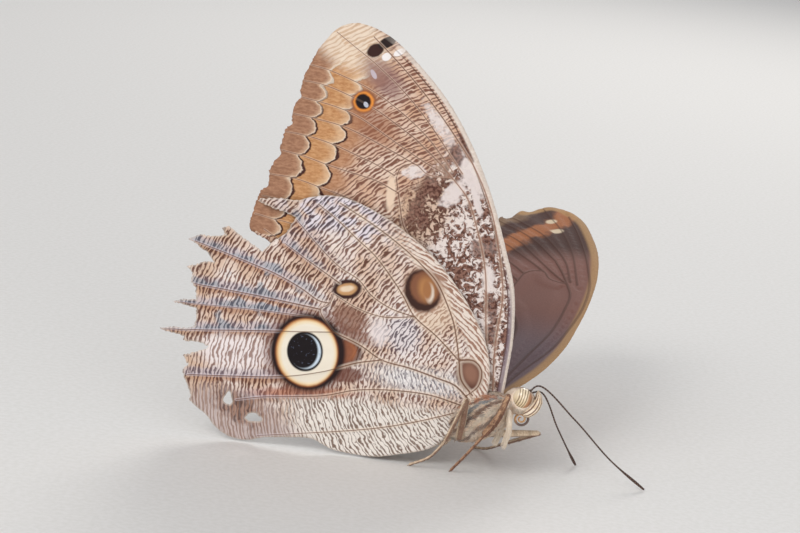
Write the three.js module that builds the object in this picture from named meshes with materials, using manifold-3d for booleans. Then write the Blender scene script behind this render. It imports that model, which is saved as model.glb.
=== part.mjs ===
// Owl butterfly at rest on a level surface, life size, in millimetres, +X ahead, +Z up.
// The right pair of wings is closed upright and the left pair lies half open behind it.
// Every point is measured from the root of the right forewing, and the finished animal
// is moved at the end so that its box stands on Z = 0 with its centre on the Z axis.
import * as THREE from "three";
import { mergeVertices } from "three/addons/utils/BufferGeometryUtils.js";
import Module from "manifold-3d";

const wasm = await Module();
wasm.setup();

// Driving sizes
const ROOT_HEIGHT = 19.4; // right forewing root above the floor
const GAP = 0.3; // left between pieces that touch
const MEMBRANE = 0.5; // thickness of a wing
const VEIN_HEIGHT = 0.46; // half height of a vein, membrane included
const VEIN_WIDTH = 0.85; // half width of a vein in the middle of the membrane
const WING_LENGTH = 76; // root to apex of a forewing
const TIP_BEND = 2.2; // how far a wing tip bends away from the flat
const HINDWING_OFFSET = 1.15; // the right hindwing lies this far outside the forewing

// Body line, from the waist to the neck and from the tail to the waist
const WAIST = new THREE.Vector3(-8.8, 2.3, -11.7);
const NECK = new THREE.Vector3(3.4, -0.9, -4.6);
const TAIL = new THREE.Vector3(-24.2, 2.5, -18.3);
const FACE = new THREE.Vector3(8.0, -1.6, -3.6);
const BACK = new THREE.Vector3(-0.45, 0.45, 0.77); // out of the rolled back
const THORAX_RADIUS = 4.6;
const ABDOMEN_RADIUS = 3.0;
const HEAD_RADIUS = 2.7;
const EYE_RADIUS = 2.0;

const v = (x, y, z) => new THREE.Vector3(x, y, z);

// A closed geometry as a solid, with its shared corners merged.
function solidOf(geometry) {
  const bare = geometry.clone();
  bare.deleteAttribute("normal");
  bare.deleteAttribute("uv");
  const merged = mergeVertices(bare, 1e-4);
  const mesh = new wasm.Mesh({
    numProp: 3,
    vertProperties: merged.attributes.position.array,
    triVerts: new Uint32Array(merged.index.array),
  });
  return new wasm.Manifold(mesh);
}

// A solid's largest closed piece as a geometry.
function geometryOf(solid) {
  const pieces = solid.decompose().sort((a, b) => b.volume() - a.volume());
  const mesh = pieces[0].getMesh();
  const geometry = new THREE.BufferGeometry();
  geometry.setAttribute("position", new THREE.BufferAttribute(mesh.vertProperties, 3));
  geometry.setIndex(new THREE.BufferAttribute(mesh.triVerts, 1));
  return geometry;
}

const joined = (solids) => solids.reduce((sum, solid) => sum.add(solid));

// A turned profile bent along a curve: [place along the curve from 0 to 1, radius] pairs.
// wide is its width sideways over its height, grow swells it evenly for a clearance cut.
function bentLathe(curve, profile, { sides = 12, up = BACK, wide = 1, grow = 0 } = {}) {
  const length = curve.getLength();
  const swollen = profile.map(([t, radius]) => {
    const place = t + ((t - 0.5) * 2 * grow) / length;
    return new THREE.Vector2(radius > 0 ? radius + grow : 0, place);
  });
  const geometry = new THREE.LatheGeometry(swollen, sides);
  const position = geometry.attributes.position;
  for (let i = 0; i < position.count; i += 1) {
    const t = position.getY(i);
    const inside = Math.min(1, Math.max(0, t));
    const tangent = curve.getTangentAt(inside);
    const centre = curve.getPointAt(inside).addScaledVector(tangent, (t - inside) * length);
    const side = new THREE.Vector3().crossVectors(tangent, up).normalize();
    const above = new THREE.Vector3().crossVectors(side, tangent);
    centre.addScaledVector(side, position.getX(i) * wide);
    centre.addScaledVector(above, position.getZ(i));
    position.setXYZ(i, centre.x, centre.y, centre.z);
  }
  return solidOf(geometry);
}

// A smooth curve through points.
const through = (points) => new THREE.CatmullRomCurve3(points, false, "centripetal");

// A round tapering rod along a curve. Its domed ends reach past the end points, so that
// two rods that share a point are one body.
function rod(points, start, end, { sides = 7, steps = 3, up = v(0, 0, 1), grow = 0 } = {}) {
  const curve = points.length > 2 ? through(points) : new THREE.LineCurve3(...points);
  const length = curve.getLength();
  const profile = [[-start / length, 0], [(-0.6 * start) / length, start * 0.75]];
  for (let i = 0; i <= steps; i += 1) {
    profile.push([i / steps, start + (end - start) * (i / steps)]);
  }
  profile.push([1 + (0.6 * end) / length, end * 0.75], [1 + end / length, 0]);
  return bentLathe(curve, profile, { sides, up, grow });
}

// Body

function thorax(grow = 0) {
  const curve = through([WAIST, v(-2.6, 0.4, -7.9), NECK]);
  const r = THORAX_RADIUS;
  const profile = [
    [0, 0], [0.01, 0.4 * r], [0.08, 0.62 * r], [0.2, 0.84 * r], [0.36, 0.98 * r],
    [0.52, r], [0.68, 0.95 * r], [0.82, 0.8 * r], [0.93, 0.6 * r], [0.99, 0.38 * r], [1, 0],
  ];
  return bentLathe(curve, profile, { sides: 20, wide: 0.9, grow });
}

// The abdomen's rings show as shallow steps.
function abdomen(grow = 0) {
  const start = v(-7.8, 2.9, -11.4);
  const curve = through([TAIL, v(-17, 3.0, -15.6), start]);
  const rings = 6;
  const profile = [[0, 0], [0.01, 0.5]];
  for (let i = 0; i < rings; i += 1) {
    const t = 0.06 + (0.86 * i) / rings;
    const swell = ABDOMEN_RADIUS * (0.42 + 0.58 * Math.sin(Math.min(1, t * 1.5) * Math.PI * 0.5));
    profile.push([t, swell * 0.97], [t + 0.1, swell * 1.02]);
  }
  profile.push([0.99, ABDOMEN_RADIUS * 0.7], [1, 0]);
  return bentLathe(curve, profile, { sides: 14, wide: 0.95, grow }).subtract(thorax(GAP - grow));
}

const headCurve = () => through([v(2.2, -0.6, -4.4), v(5.2, -1.1, -3.4), FACE]);

function head(grow = 0) {
  const r = HEAD_RADIUS;
  const profile = [
    [0, 0], [0.02, 0.5 * r], [0.15, 0.78 * r], [0.35, 0.97 * r], [0.55, r],
    [0.75, 0.86 * r], [0.9, 0.55 * r], [1, 0],
  ];
  return bentLathe(headCurve(), profile, { sides: 16, wide: 0.88, grow }).subtract(thorax(GAP - grow));
}

function eye(centre) {
  const ball = new THREE.SphereGeometry(EYE_RADIUS, 16, 12);
  ball.scale(0.95, 0.8, 1.05);
  ball.translate(centre.x, centre.y, centre.z);
  return solidOf(ball);
}

const EYE_RIGHT = v(5.4, -2.3, -2.5);
const EYE_LEFT = v(5.0, 1.1, -3.3);

// A palp curves up in front of the face.
function palp(shift, grow = 0) {
  const points = [v(6.6, -2.3, -5.6), v(8.7, -2.2, -4.6), v(9.5, -2.0, -2.9), v(9.5, -1.8, -1.2)];
  return rod(points.map((p) => p.add(shift)), 0.85, 0.42, { sides: 8, steps: 4, up: v(0, 1, 0), grow });
}

const PALP_RIGHT = v(0, 0, 0);
const PALP_LEFT = v(-0.2, 2.1, -0.1);

// The tongue is rolled up under the head.
function proboscis() {
  const centre = v(5.7, -1.1, -7.1);
  const turns = 1.35;
  const points = [v(6.4, -1.0, -4.4), v(7.2, -1.1, -5.8)];
  for (let i = 0; i <= 14; i += 1) {
    const angle = 0.35 - (turns * 2 * Math.PI * i) / 14;
    const radius = 1.5 - (0.72 * turns * i) / 14;
    const x = centre.x + radius * Math.cos(angle);
    const z = centre.z + radius * Math.sin(angle);
    points.push(v(x, centre.y, z));
  }
  const tube = rod(points, 0.3, 0.24, { sides: 6, steps: 22, up: v(0, 1, 0) });
  return tube.subtract(head(GAP)).subtract(palp(PALP_RIGHT, GAP)).subtract(palp(PALP_LEFT, GAP));
}

// Each feeler droops to the floor and thickens a little at its end.
function antenna(points) {
  const curve = through(points);
  const profile = [
    [0, 0], [0.004, 0.3], [0.2, 0.27], [0.4, 0.26], [0.6, 0.27], [0.75, 0.3], [0.88, 0.38],
    [0.96, 0.36], [0.99, 0.2], [1, 0],
  ];
  return bentLathe(curve, profile, { sides: 8, up: v(0, 1, 0) }).subtract(head(GAP));
}

// Legs: a thick femur, a thin tibia and a thinner foot that lies down on the floor.
function leg({ hip, thigh, knee, ankle, foot, toe, femur = 0.75, tibia = 0.5, tarsus = 0.36 }) {
  const parts = [
    rod(thigh ? [hip, thigh, knee] : [hip, knee], femur, femur * 0.8),
    rod([knee, ankle], tibia, tibia * 0.85),
    rod([ankle, foot, toe], tarsus, tarsus * 0.8),
  ];
  return joined(parts).subtract(thorax(GAP));
}

const FLOOR = -ROOT_HEIGHT;
const SOLE = FLOOR + 0.24; // height of the middle of a toe that presses on the floor
const LEGS = {
  midleg_right: {
    hip: v(-1.4, -3.4, -10.9), thigh: v(0.9, -5.2, -6.4), knee: v(2.6, -4.9, -1.2),
    ankle: v(0.2, -6.2, -7.6), foot: v(-4.6, -4.6, -15.2), toe: v(-7.0, -2.6, SOLE),
  },
  midleg_left: {
    hip: v(-1.0, 2.0, -12.0), knee: v(10.2, 3.0, -10.8), ankle: v(3.0, 10.8, -16.6),
    foot: v(0.2, 13.4, -18.6), toe: v(-2.4, 15.2, SOLE),
  },
  hindleg_right: {
    hip: v(-6.2, -2.6, -12.6), knee: v(-5.6, -5.4, -3.0), ankle: v(-8.9, -4.9, -12.6),
    foot: v(-11.4, -3.8, -16.4), toe: v(-15.4, -2.2, SOLE),
  },
  hindleg_left: {
    hip: v(-6.2, 4.4, -13.2), knee: v(-8.4, 9.0, -11.2), ankle: v(-10.6, 12.6, -15.6),
    foot: v(-12.6, 14.2, -18.6), toe: v(-15.2, 15.6, SOLE),
  },
};

// The forelegs of this family are short brushes that hang under the chest.
function foreleg(top, bend, tip) {
  const brush = rod([top, bend], 0.6, 0.7);
  const end = rod([bend, tip], 0.7, 0.35);
  return joined([brush, end]).subtract(thorax(GAP)).subtract(head(GAP));
}

// Wings

// A wing lies in a plane through its root: ahead runs forward in it, upward runs to its tip,
// and outer is the side away from the body of a closed wing.
function wingPlane(root, ahead, upward) {
  const outer = new THREE.Vector3().crossVectors(ahead, upward).normalize();
  return (x, z, height) => {
    const bend = TIP_BEND * ((x * x + z * z) / (WING_LENGTH * WING_LENGTH));
    return root.clone().addScaledVector(ahead, x).addScaledVector(upward, z)
      .addScaledVector(outer, height - bend);
  };
}

// The membrane is a fan of thin triangles, alike on both faces, from a short root line
// out to the outline.
function membrane(place, rootLine, outline) {
  const rings = [0, 0.35, 0.7, 1];
  const count = outline.length;
  const positions = [];
  for (const height of [MEMBRANE / 2, -MEMBRANE / 2]) {
    outline.forEach(([x, z], i) => {
      const along = i / (count - 1);
      const startX = rootLine[0][0] + (rootLine[1][0] - rootLine[0][0]) * along;
      const startZ = rootLine[0][1] + (rootLine[1][1] - rootLine[0][1]) * along;
      for (const ring of rings) {
        const point = place(startX + (x - startX) * ring, startZ + (z - startZ) * ring, height);
        positions.push(point.x, point.y, point.z);
      }
    });
  }
  const last = rings.length - 1;
  const upper = (i, j) => i * rings.length + j;
  const lower = (i, j) => upper(i, j) + count * rings.length;
  const index = [];
  const quad = (a, b, c, d) => index.push(a, b, c, a, c, d);
  for (let i = 0; i < count - 1; i += 1) {
    for (let j = 0; j < last; j += 1) {
      quad(upper(i, j), upper(i, j + 1), upper(i + 1, j + 1), upper(i + 1, j));
      index.push(lower(i, j), lower(i + 1, j + 1), lower(i, j + 1));
      index.push(lower(i, j), lower(i + 1, j), lower(i + 1, j + 1));
    }
    quad(upper(i, 0), upper(i + 1, 0), lower(i + 1, 0), lower(i, 0));
    quad(upper(i + 1, last), upper(i, last), lower(i, last), lower(i + 1, last));
  }
  for (let j = 0; j < last; j += 1) {
    quad(upper(0, j + 1), upper(0, j), lower(0, j), lower(0, j + 1));
    quad(upper(count - 1, j), upper(count - 1, j + 1), lower(count - 1, j + 1), lower(count - 1, j));
  }
  const geometry = new THREE.BufferGeometry();
  geometry.setAttribute("position", new THREE.Float32BufferAttribute(positions, 3));
  geometry.setIndex(index);
  return solidOf(geometry);
}

// A vein is a roof-shaped bar that stands out of both faces and narrows to the margin.
function vein(place, points) {
  const flat = points.map(([x, z]) => v(x, 0, z));
  const curve = points.length > 2 ? through(flat) : new THREE.LineCurve3(...flat);
  const steps = Math.max(2, Math.round(curve.getLength() / 14));
  const positions = [];
  for (let i = 0; i <= steps; i += 1) {
    const t = i / steps;
    const middle = curve.getPointAt(t);
    const tangent = curve.getTangentAt(t);
    const half = VEIN_WIDTH * (1 - 0.45 * t);
    for (const [aside, height] of [[half, 0], [0, VEIN_HEIGHT], [-half, 0], [0, -VEIN_HEIGHT]]) {
      const point = place(middle.x - tangent.z * aside, middle.z + tangent.x * aside, height);
      positions.push(point.x, point.y, point.z);
    }
  }
  const index = [];
  for (let i = 0; i < steps; i += 1) {
    for (let k = 0; k < 4; k += 1) {
      const next = (k + 1) % 4;
      index.push(4 * i + k, 4 * i + next, 4 * i + 4 + next);
      index.push(4 * i + k, 4 * i + 4 + next, 4 * i + 4 + k);
    }
  }
  const end = 4 * steps;
  index.push(0, 2, 1, 0, 3, 2, end, end + 1, end + 2, end, end + 2, end + 3);
  const geometry = new THREE.BufferGeometry();
  geometry.setAttribute("position", new THREE.Float32BufferAttribute(positions, 3));
  geometry.setIndex(index);
  return solidOf(geometry);
}

// Outlines and veins in the plane of a wing: [ahead, upward] from the root.
const FORE_ROOT = [[1.6, -3.2], [-2.6, -4.6]];
const FORE_EDGE = [
  [1.9, 1.6], [2.1, 9.4], [1.0, 18.8], [-2.0, 27.6], [-5.5, 36.3], [-10.4, 45.7], [-16.2, 54.0],
  [-22.9, 60.7], [-29.3, 65.6], [-35.4, 67.4],
];
const FORE_APEX = [[-39.2, 66.3], [-43.0, 61.5]];
const FORE_TORNUS = [-52.6, 24.2];
const FORE_SCALLOPS = 7;
const CELL_FORE = [-16.5, 36.5]; // far end of the forewing's cell
const FORE_BRANCHES = [ // where each vein leaves the cell and where it meets the margin
  [[-11.6, 40.5], [-31.5, 66.2]], [[-12.5, 40.0], [-38.4, 65.2]],
  [[-14.0, 39.5], [-43.6, 59.4]], [[-16.5, 36.5], [-45.6, 52.8]],
  [[-19.0, 32.5], [-47.2, 45.9]], [[-19.0, 28.0], [-49.0, 38.7]],
  [[-16.0, 21.5], [-51.0, 31.3]],
];

// The outer margin runs from one point to the other in shallow scallops.
function scallops(from, to, count, depth) {
  const points = [];
  const length = Math.hypot(to[0] - from[0], to[1] - from[1]);
  const inX = (to[1] - from[1]) / length;
  const inZ = -(to[0] - from[0]) / length;
  for (let i = 0; i < count * 2; i += 1) {
    const t = i / (count * 2);
    const inward = i % 2 ? depth : 0;
    points.push([
      from[0] + (to[0] - from[0]) * t - inX * inward,
      from[1] + (to[1] - from[1]) * t - inZ * inward,
    ]);
  }
  points.push(to);
  return points;
}

function foreOutline() {
  const margin = scallops([-45.2, 55.6], FORE_TORNUS, FORE_SCALLOPS, 0.5);
  return [...FORE_EDGE, ...FORE_APEX, ...margin, [-48.6, 22.6], [-26.0, 8.5], [-8.0, -2.6]];
}

function forewing(place) {
  const cellUpper = [[0, -2], [0.4, 12], [-4.0, 27], [-10.4, 38.6], [-13.2, 40.6]];
  const cellLower = [[-1.2, -3], [-8.0, 9.5], [-15.6, 21], [-19.6, 31], CELL_FORE];
  const close = [[-13.2, 40.6], [-14.2, 38.2], CELL_FORE];
  const edge = [[1.4, -2], ...FORE_EDGE.map(([x, z]) => [x - 0.7, z - 0.4])];
  const inner = [[-2.0, -3.6], [-20, 7.2], [-47.5, 23.0]];
  const branches = FORE_BRANCHES.map(([from, to]) => {
    const middle = [(from[0] + to[0]) / 2 - 0.6, (from[1] + to[1]) / 2 + 0.9];
    return [from, middle, to];
  });
  const veins = [cellUpper, cellLower, close, edge, inner, ...branches];
  const bars = veins.map((points) => vein(place, points));
  return joined([membrane(place, FORE_ROOT, foreOutline()), ...bars]);
}

const HIND_ROOT = [[-1.6, -3.4], [-6.8, -8.2]];
const HIND_EDGE = [
  [-1.6, 1.6], [-3.6, 8.4], [-8.5, 16.0], [-14.7, 22.8], [-20.3, 27.6], [-27.2, 31.2],
  [-34.3, 33.6], [-39.2, 33.0], [-43.1, 31.6],
];
// The worn right margin: long strips stand between deep tears.
const HIND_TORN = [
  [-50.6, 31.0], [-51.5, 30.2], [-45.3, 24.6], [-49.4, 20.6], [-56.6, 24.4], [-55.9, 22.0],
  [-62.0, 22.1], [-64.4, 21.0], [-58.9, 17.0], [-63.9, 15.1], [-63.0, 12.4], [-61.5, 9.1],
  [-66.1, 7.9], [-61.5, 7.2], [-61.5, 3.1], [-68.4, 1.8], [-63.2, 0.4], [-58.2, -0.6],
  [-63.0, -3.2], [-62.4, -6.0], [-60.8, -12.0],
];
// The lower edge is whole and rests on the floor.
const HIND_LOWER = [
  [-57.3, -14.9], [-53.9, -17.9], [-50.0, -19.6], [-46.6, -19.5], [-42.0, -17.9], [-36.0, -17.2],
  [-31.5, -18.6], [-27.0, -19.6], [-23.4, -19.7], [-17.4, -17.8], [-11.6, -15.8], [-10.2, -13.9],
];
// The whole left margin runs in scallops along an arc.
function wholeHindMargin() {
  const points = [];
  const centre = [-31.0, 3.0];
  for (let i = 0; i <= 18; i += 1) {
    const angle = (2.42 + (2.02 * i) / 18);
    const radius = (i % 3 === 1 ? 33.6 : 32.6) - 5.5 * Math.max(0, (i - 9) / 9) ** 2;
    points.push([centre[0] + radius * Math.cos(angle), centre[1] + radius * Math.sin(angle)]);
  }
  return points;
}

const HIND_CELL = [-37.5, 12.5];
const HIND_BRANCHES = [
  [[-24.0, 8.5], [-46.0, 22.6]], [[-33.5, 15.0], [-56.5, 22.4]], [HIND_CELL, [-61.5, 15.6]],
  [HIND_CELL, [-61.0, 8.0]], [[-32.0, 2.6], [-61.0, 2.0]], [[-24.0, 0.6], [-58.0, -6.2]],
];

function hindwing(place, outline) {
  const shoulder = [[-1.8, -2.6], [-4.6, 7.2], [-9.4, 15.4], [-20.0, 24.6], [-28.0, 30.4]];
  const stem = [[-3.4, -4.6], [-12.0, 0.6], [-24.0, 6.4]];
  const upper = [[-24.0, 6.4], [-33.5, 15.0], HIND_CELL];
  const lower = [[-13.0, 0.8], [-24.0, 0.6], [-32.0, 2.6], HIND_CELL];
  const tail = [[-4.6, -5.8], [-24, -6.2], [-57.0, -12.0]];
  const inner = [[-5.8, -6.8], [-20.0, -12.0], [-46.5, -17.6]];
  const branches = HIND_BRANCHES.map(([from, to]) => {
    const middle = [(from[0] + to[0]) / 2, (from[1] + to[1]) / 2 + 0.9];
    return [from, middle, to];
  });
  const veins = [shoulder, stem, upper, lower, tail, inner, ...branches];
  const bars = veins.map((points) => vein(place, points));
  return joined([membrane(place, HIND_ROOT, outline), ...bars]);
}

// A hole worn through a wing.
function hole(place, x, z, radius) {
  const rim = [];
  for (let i = 0; i < 7; i += 1) {
    const angle = (2 * Math.PI * i) / 7;
    const reach = radius * (1 + 0.25 * Math.sin(3 * angle + x));
    rim.push(new THREE.Vector2(x + reach * Math.cos(angle), z + reach * Math.sin(angle)));
  }
  const plug = new THREE.ExtrudeGeometry(new THREE.Shape(rim), { depth: 4, bevelEnabled: false });
  const position = plug.attributes.position;
  for (let i = 0; i < position.count; i += 1) {
    const point = place(position.getX(i), position.getY(i), position.getZ(i) - 2);
    position.setXYZ(i, point.x, point.y, point.z);
  }
  return solidOf(plug);
}

// Planes of the four wings. The right pair is upright, the left pair lies half open.
const rightFore = wingPlane(v(0, 0, 0), v(1, 0, 0), v(0, 0, 1));
const rightHind = wingPlane(v(0, -HINDWING_OFFSET, 0), v(1, 0, 0), v(0, 0, 1));
const leftFore = wingPlane(v(2.3, 4.1, -2.8), v(0.793, -0.607, -0.045), v(0.58, 0.731, 0.36));
const leftHind = wingPlane(v(0.6, 4.6, -6.8), v(0.666, -0.739, 0.07), v(0.603, 0.593, 0.532));

const floorBox = new THREE.BoxGeometry(400, 400, 20);
floorBox.translate(0, 0, FLOOR - 10);
const belowFloor = solidOf(floorBox);

// Assembly

const MATERIALS = {
  fur: [0xc9b493, 0.95], abdomen: [0xb98c5a, 0.95], eye: [0xd9cba0, 0.3], horn: [0x3a2a1e, 0.6],
  leg: [0x8a6a48, 0.8], brush: [0xe6dcc4, 0.95], tongue: [0xb0703a, 0.45],
  wing_pale: [0xc4b3a2, 0.85], wing_dark: [0x5a3f30, 0.85],
};

const owl = new THREE.Group();

function addNode(name, solid, material) {
  const [color, roughness] = MATERIALS[material];
  const skin = new THREE.MeshStandardMaterial({ color, roughness, metalness: 0 });
  const mesh = new THREE.Mesh(geometryOf(solid.subtract(belowFloor)), skin);
  mesh.name = name;
  owl.add(mesh);
}

addNode("thorax", thorax(), "fur");
addNode("abdomen", abdomen(), "abdomen");
const palps = joined([palp(PALP_RIGHT, GAP), palp(PALP_LEFT, GAP)]);
addNode("head", head(), "fur");
addNode("eye_right", eye(EYE_RIGHT).subtract(head(GAP)).subtract(palps), "eye");
addNode("eye_left", eye(EYE_LEFT).subtract(head(GAP)).subtract(palps), "eye");
addNode("palp_right", palp(PALP_RIGHT).subtract(head(GAP)), "fur");
addNode("palp_left", palp(PALP_LEFT).subtract(head(GAP)), "fur");
addNode("proboscis", proboscis(), "tongue");

const feelerRight = [
  v(6.4, -1.3, -1.6), v(8.4, -1.0, 0.1), v(16.4, -2.2, -5.7), v(24.6, -1.2, -13.4),
  v(32.4, 0.0, FLOOR + 0.3),
];
const feelerLeft = [
  v(6.6, -0.4, -1.9), v(9.1, 0.6, -1.6), v(13.6, 4.2, -9.6), v(16.4, 7.6, -14.7),
  v(18.9, 11.0, FLOOR + 0.3),
];
addNode("antenna_right", antenna(feelerRight).subtract(palps), "horn");
addNode("antenna_left", antenna(feelerLeft).subtract(palps), "horn");

addNode("foreleg_right", foreleg(v(3.0, -3.6, -4.6), v(3.4, -4.6, -8.6), v(3.0, -4.0, -11.4)), "brush");
addNode("foreleg_left", foreleg(v(2.0, -1.6, -7.0), v(2.0, -2.0, -9.4), v(1.4, -1.6, -11.8)), "brush");
for (const [name, joints] of Object.entries(LEGS)) {
  addNode(name, leg(joints), "leg");
}

const bodyCut = joined([thorax(GAP), head(GAP), abdomen(GAP)]);
const rightWing = hindwing(rightHind, [...HIND_EDGE, ...HIND_TORN, ...HIND_LOWER]);
const holes = [hole(rightHind, -54.2, -10.8, 1.1), hole(rightHind, -47.8, -13.8, 1.2)];
addNode("forewing_right", forewing(rightFore).subtract(bodyCut), "wing_pale");
addNode("hindwing_right", rightWing.subtract(joined(holes)).subtract(bodyCut), "wing_pale");
const leftWing = hindwing(leftHind, [...HIND_EDGE, ...wholeHindMargin(), [-18.0, -16.0], [-10.2, -12.0]]);
addNode("forewing_left", forewing(leftFore).subtract(bodyCut), "wing_dark");
addNode("hindwing_left", leftWing.subtract(bodyCut), "wing_dark");

const box = new THREE.Box3().setFromObject(owl);
const middle = box.getCenter(v(0, 0, 0));
owl.position.set(-middle.x, -middle.y, -box.min.z);

export default owl;
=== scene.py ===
# %% [markdown]
# # An owl butterfly at rest, life size
# A real owl butterfly sits with its wings closed over its back. Its front wing is a sheet
# 76 mm long and a tenth of a millimetre thick, held stiff by hollow veins and covered on
# both faces with coloured scales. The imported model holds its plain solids. This lesson
# dresses them: wings with raised veins and worn edges, a furred body, striped eyes,
# feelers, tongue and legs. Every size below is in millimetres, measured from the root of
# the right front wing, because that is how such an animal is drawn.

import math

import bpy
import numpy as np
from mathutils import Matrix, Vector
from mathutils.geometry import delaunay_2d_cdt


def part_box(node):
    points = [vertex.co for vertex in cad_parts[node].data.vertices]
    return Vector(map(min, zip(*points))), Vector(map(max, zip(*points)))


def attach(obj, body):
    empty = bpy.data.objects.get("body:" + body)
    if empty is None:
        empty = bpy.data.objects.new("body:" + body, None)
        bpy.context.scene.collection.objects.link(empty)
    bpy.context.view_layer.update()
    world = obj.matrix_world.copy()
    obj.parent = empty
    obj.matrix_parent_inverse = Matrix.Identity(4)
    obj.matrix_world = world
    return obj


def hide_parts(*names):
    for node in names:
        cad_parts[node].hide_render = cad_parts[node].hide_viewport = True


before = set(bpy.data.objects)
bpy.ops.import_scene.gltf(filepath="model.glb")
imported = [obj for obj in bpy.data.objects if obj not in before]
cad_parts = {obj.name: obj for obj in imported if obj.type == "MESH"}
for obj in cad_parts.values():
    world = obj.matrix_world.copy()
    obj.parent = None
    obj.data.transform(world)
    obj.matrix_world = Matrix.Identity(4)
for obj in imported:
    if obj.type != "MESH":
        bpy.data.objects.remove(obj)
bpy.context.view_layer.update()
print("packed solids:", len(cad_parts))

# %% [markdown]
# ## The frame that everything is measured in
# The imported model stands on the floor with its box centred, and Blender works in metres.
# The root of the right front wing is found again from the thorax, whose lowest corner is
# known from that root. One helper then turns millimetres into Blender's metres.

# %% Millimetres from the wing root
MM = 0.001
THORAX_CORNER = Vector((-9.65479, -3.98878, -13.54393))
WING_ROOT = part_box("thorax")[0] - THORAX_CORNER * MM
FLOOR = -WING_ROOT.z / MM
ROOT_ARRAY = np.array(WING_ROOT)


def to_metres(points):
    return np.asarray(points, float) * MM + ROOT_ARRAY


def new_object(name, vertices, faces):
    """An object with a mesh of its own, linked to the scene."""
    mesh = bpy.data.meshes.new(name)
    mesh.from_pydata(np.asarray(vertices).tolist(), [], faces)
    made = bpy.data.objects.new(name, mesh)
    bpy.context.scene.collection.objects.link(made)
    return made


print("the wing root is", round(-FLOOR, 2), "mm above the floor")

# %% [markdown]
# ## Camera
# A long lens from 48 cm away, 13 degrees above the level and tilted 7 degrees, gives a
# small subject its true proportions. The three axes of the camera are written out, so
# nothing depends on a target object or a constraint.

# %% Camera
camera = bpy.data.objects.new("camera", bpy.data.cameras.new("camera"))
bpy.context.scene.collection.objects.link(camera)
CAMERA_AXES = Matrix(((0.9925, 0.0274, 0.1187), (-0.1219, 0.2233, 0.9671), (0, -0.9744, 0.225)))
CAMERA_PLACE = Vector((-22.02, -463.16, 127.63))
camera.matrix_world = (
    Matrix.Translation(WING_ROOT + CAMERA_PLACE * MM)
    @ CAMERA_AXES.transposed().to_4x4()
)
camera.data.lens = 108
camera.data.clip_start = 0.01
bpy.context.scene.camera = camera
bpy.context.scene.view_settings.view_transform = "Standard"
print("camera at", [round(value, 3) for value in camera.location])

# %% [markdown]
# ## Shader expressions
# A material is a net of nodes. Drawing such a net by hand is slow to read, so a small
# class wraps a socket: adding or multiplying two of them adds the Math node. Every other
# node comes from one method, which takes its type, its settings and its sockets.


# %% A socket that can be used in arithmetic
class Wire:
    """A socket of a material, as a term in an expression."""

    def __init__(self, paint, socket):
        self.paint = paint
        self.socket = socket

    def math(self, operation, *values):
        return self.paint.node("Math", {"operation": operation}, dict(enumerate(values)))

    def __add__(self, other):
        return self.math("ADD", self, other)

    __radd__ = __add__

    def __sub__(self, other):
        return self.math("SUBTRACT", self, other)

    def __rsub__(self, other):
        return self.math("SUBTRACT", other, self)

    def __mul__(self, other):
        return self.math("MULTIPLY", self, other)

    __rmul__ = __mul__

    def __abs__(self):
        return self.math("ABSOLUTE", self)

    def sine(self):
        return self.math("SINE", self)

    def output(self, name):
        return Wire(self.paint, self.socket.node.outputs[name])


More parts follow.
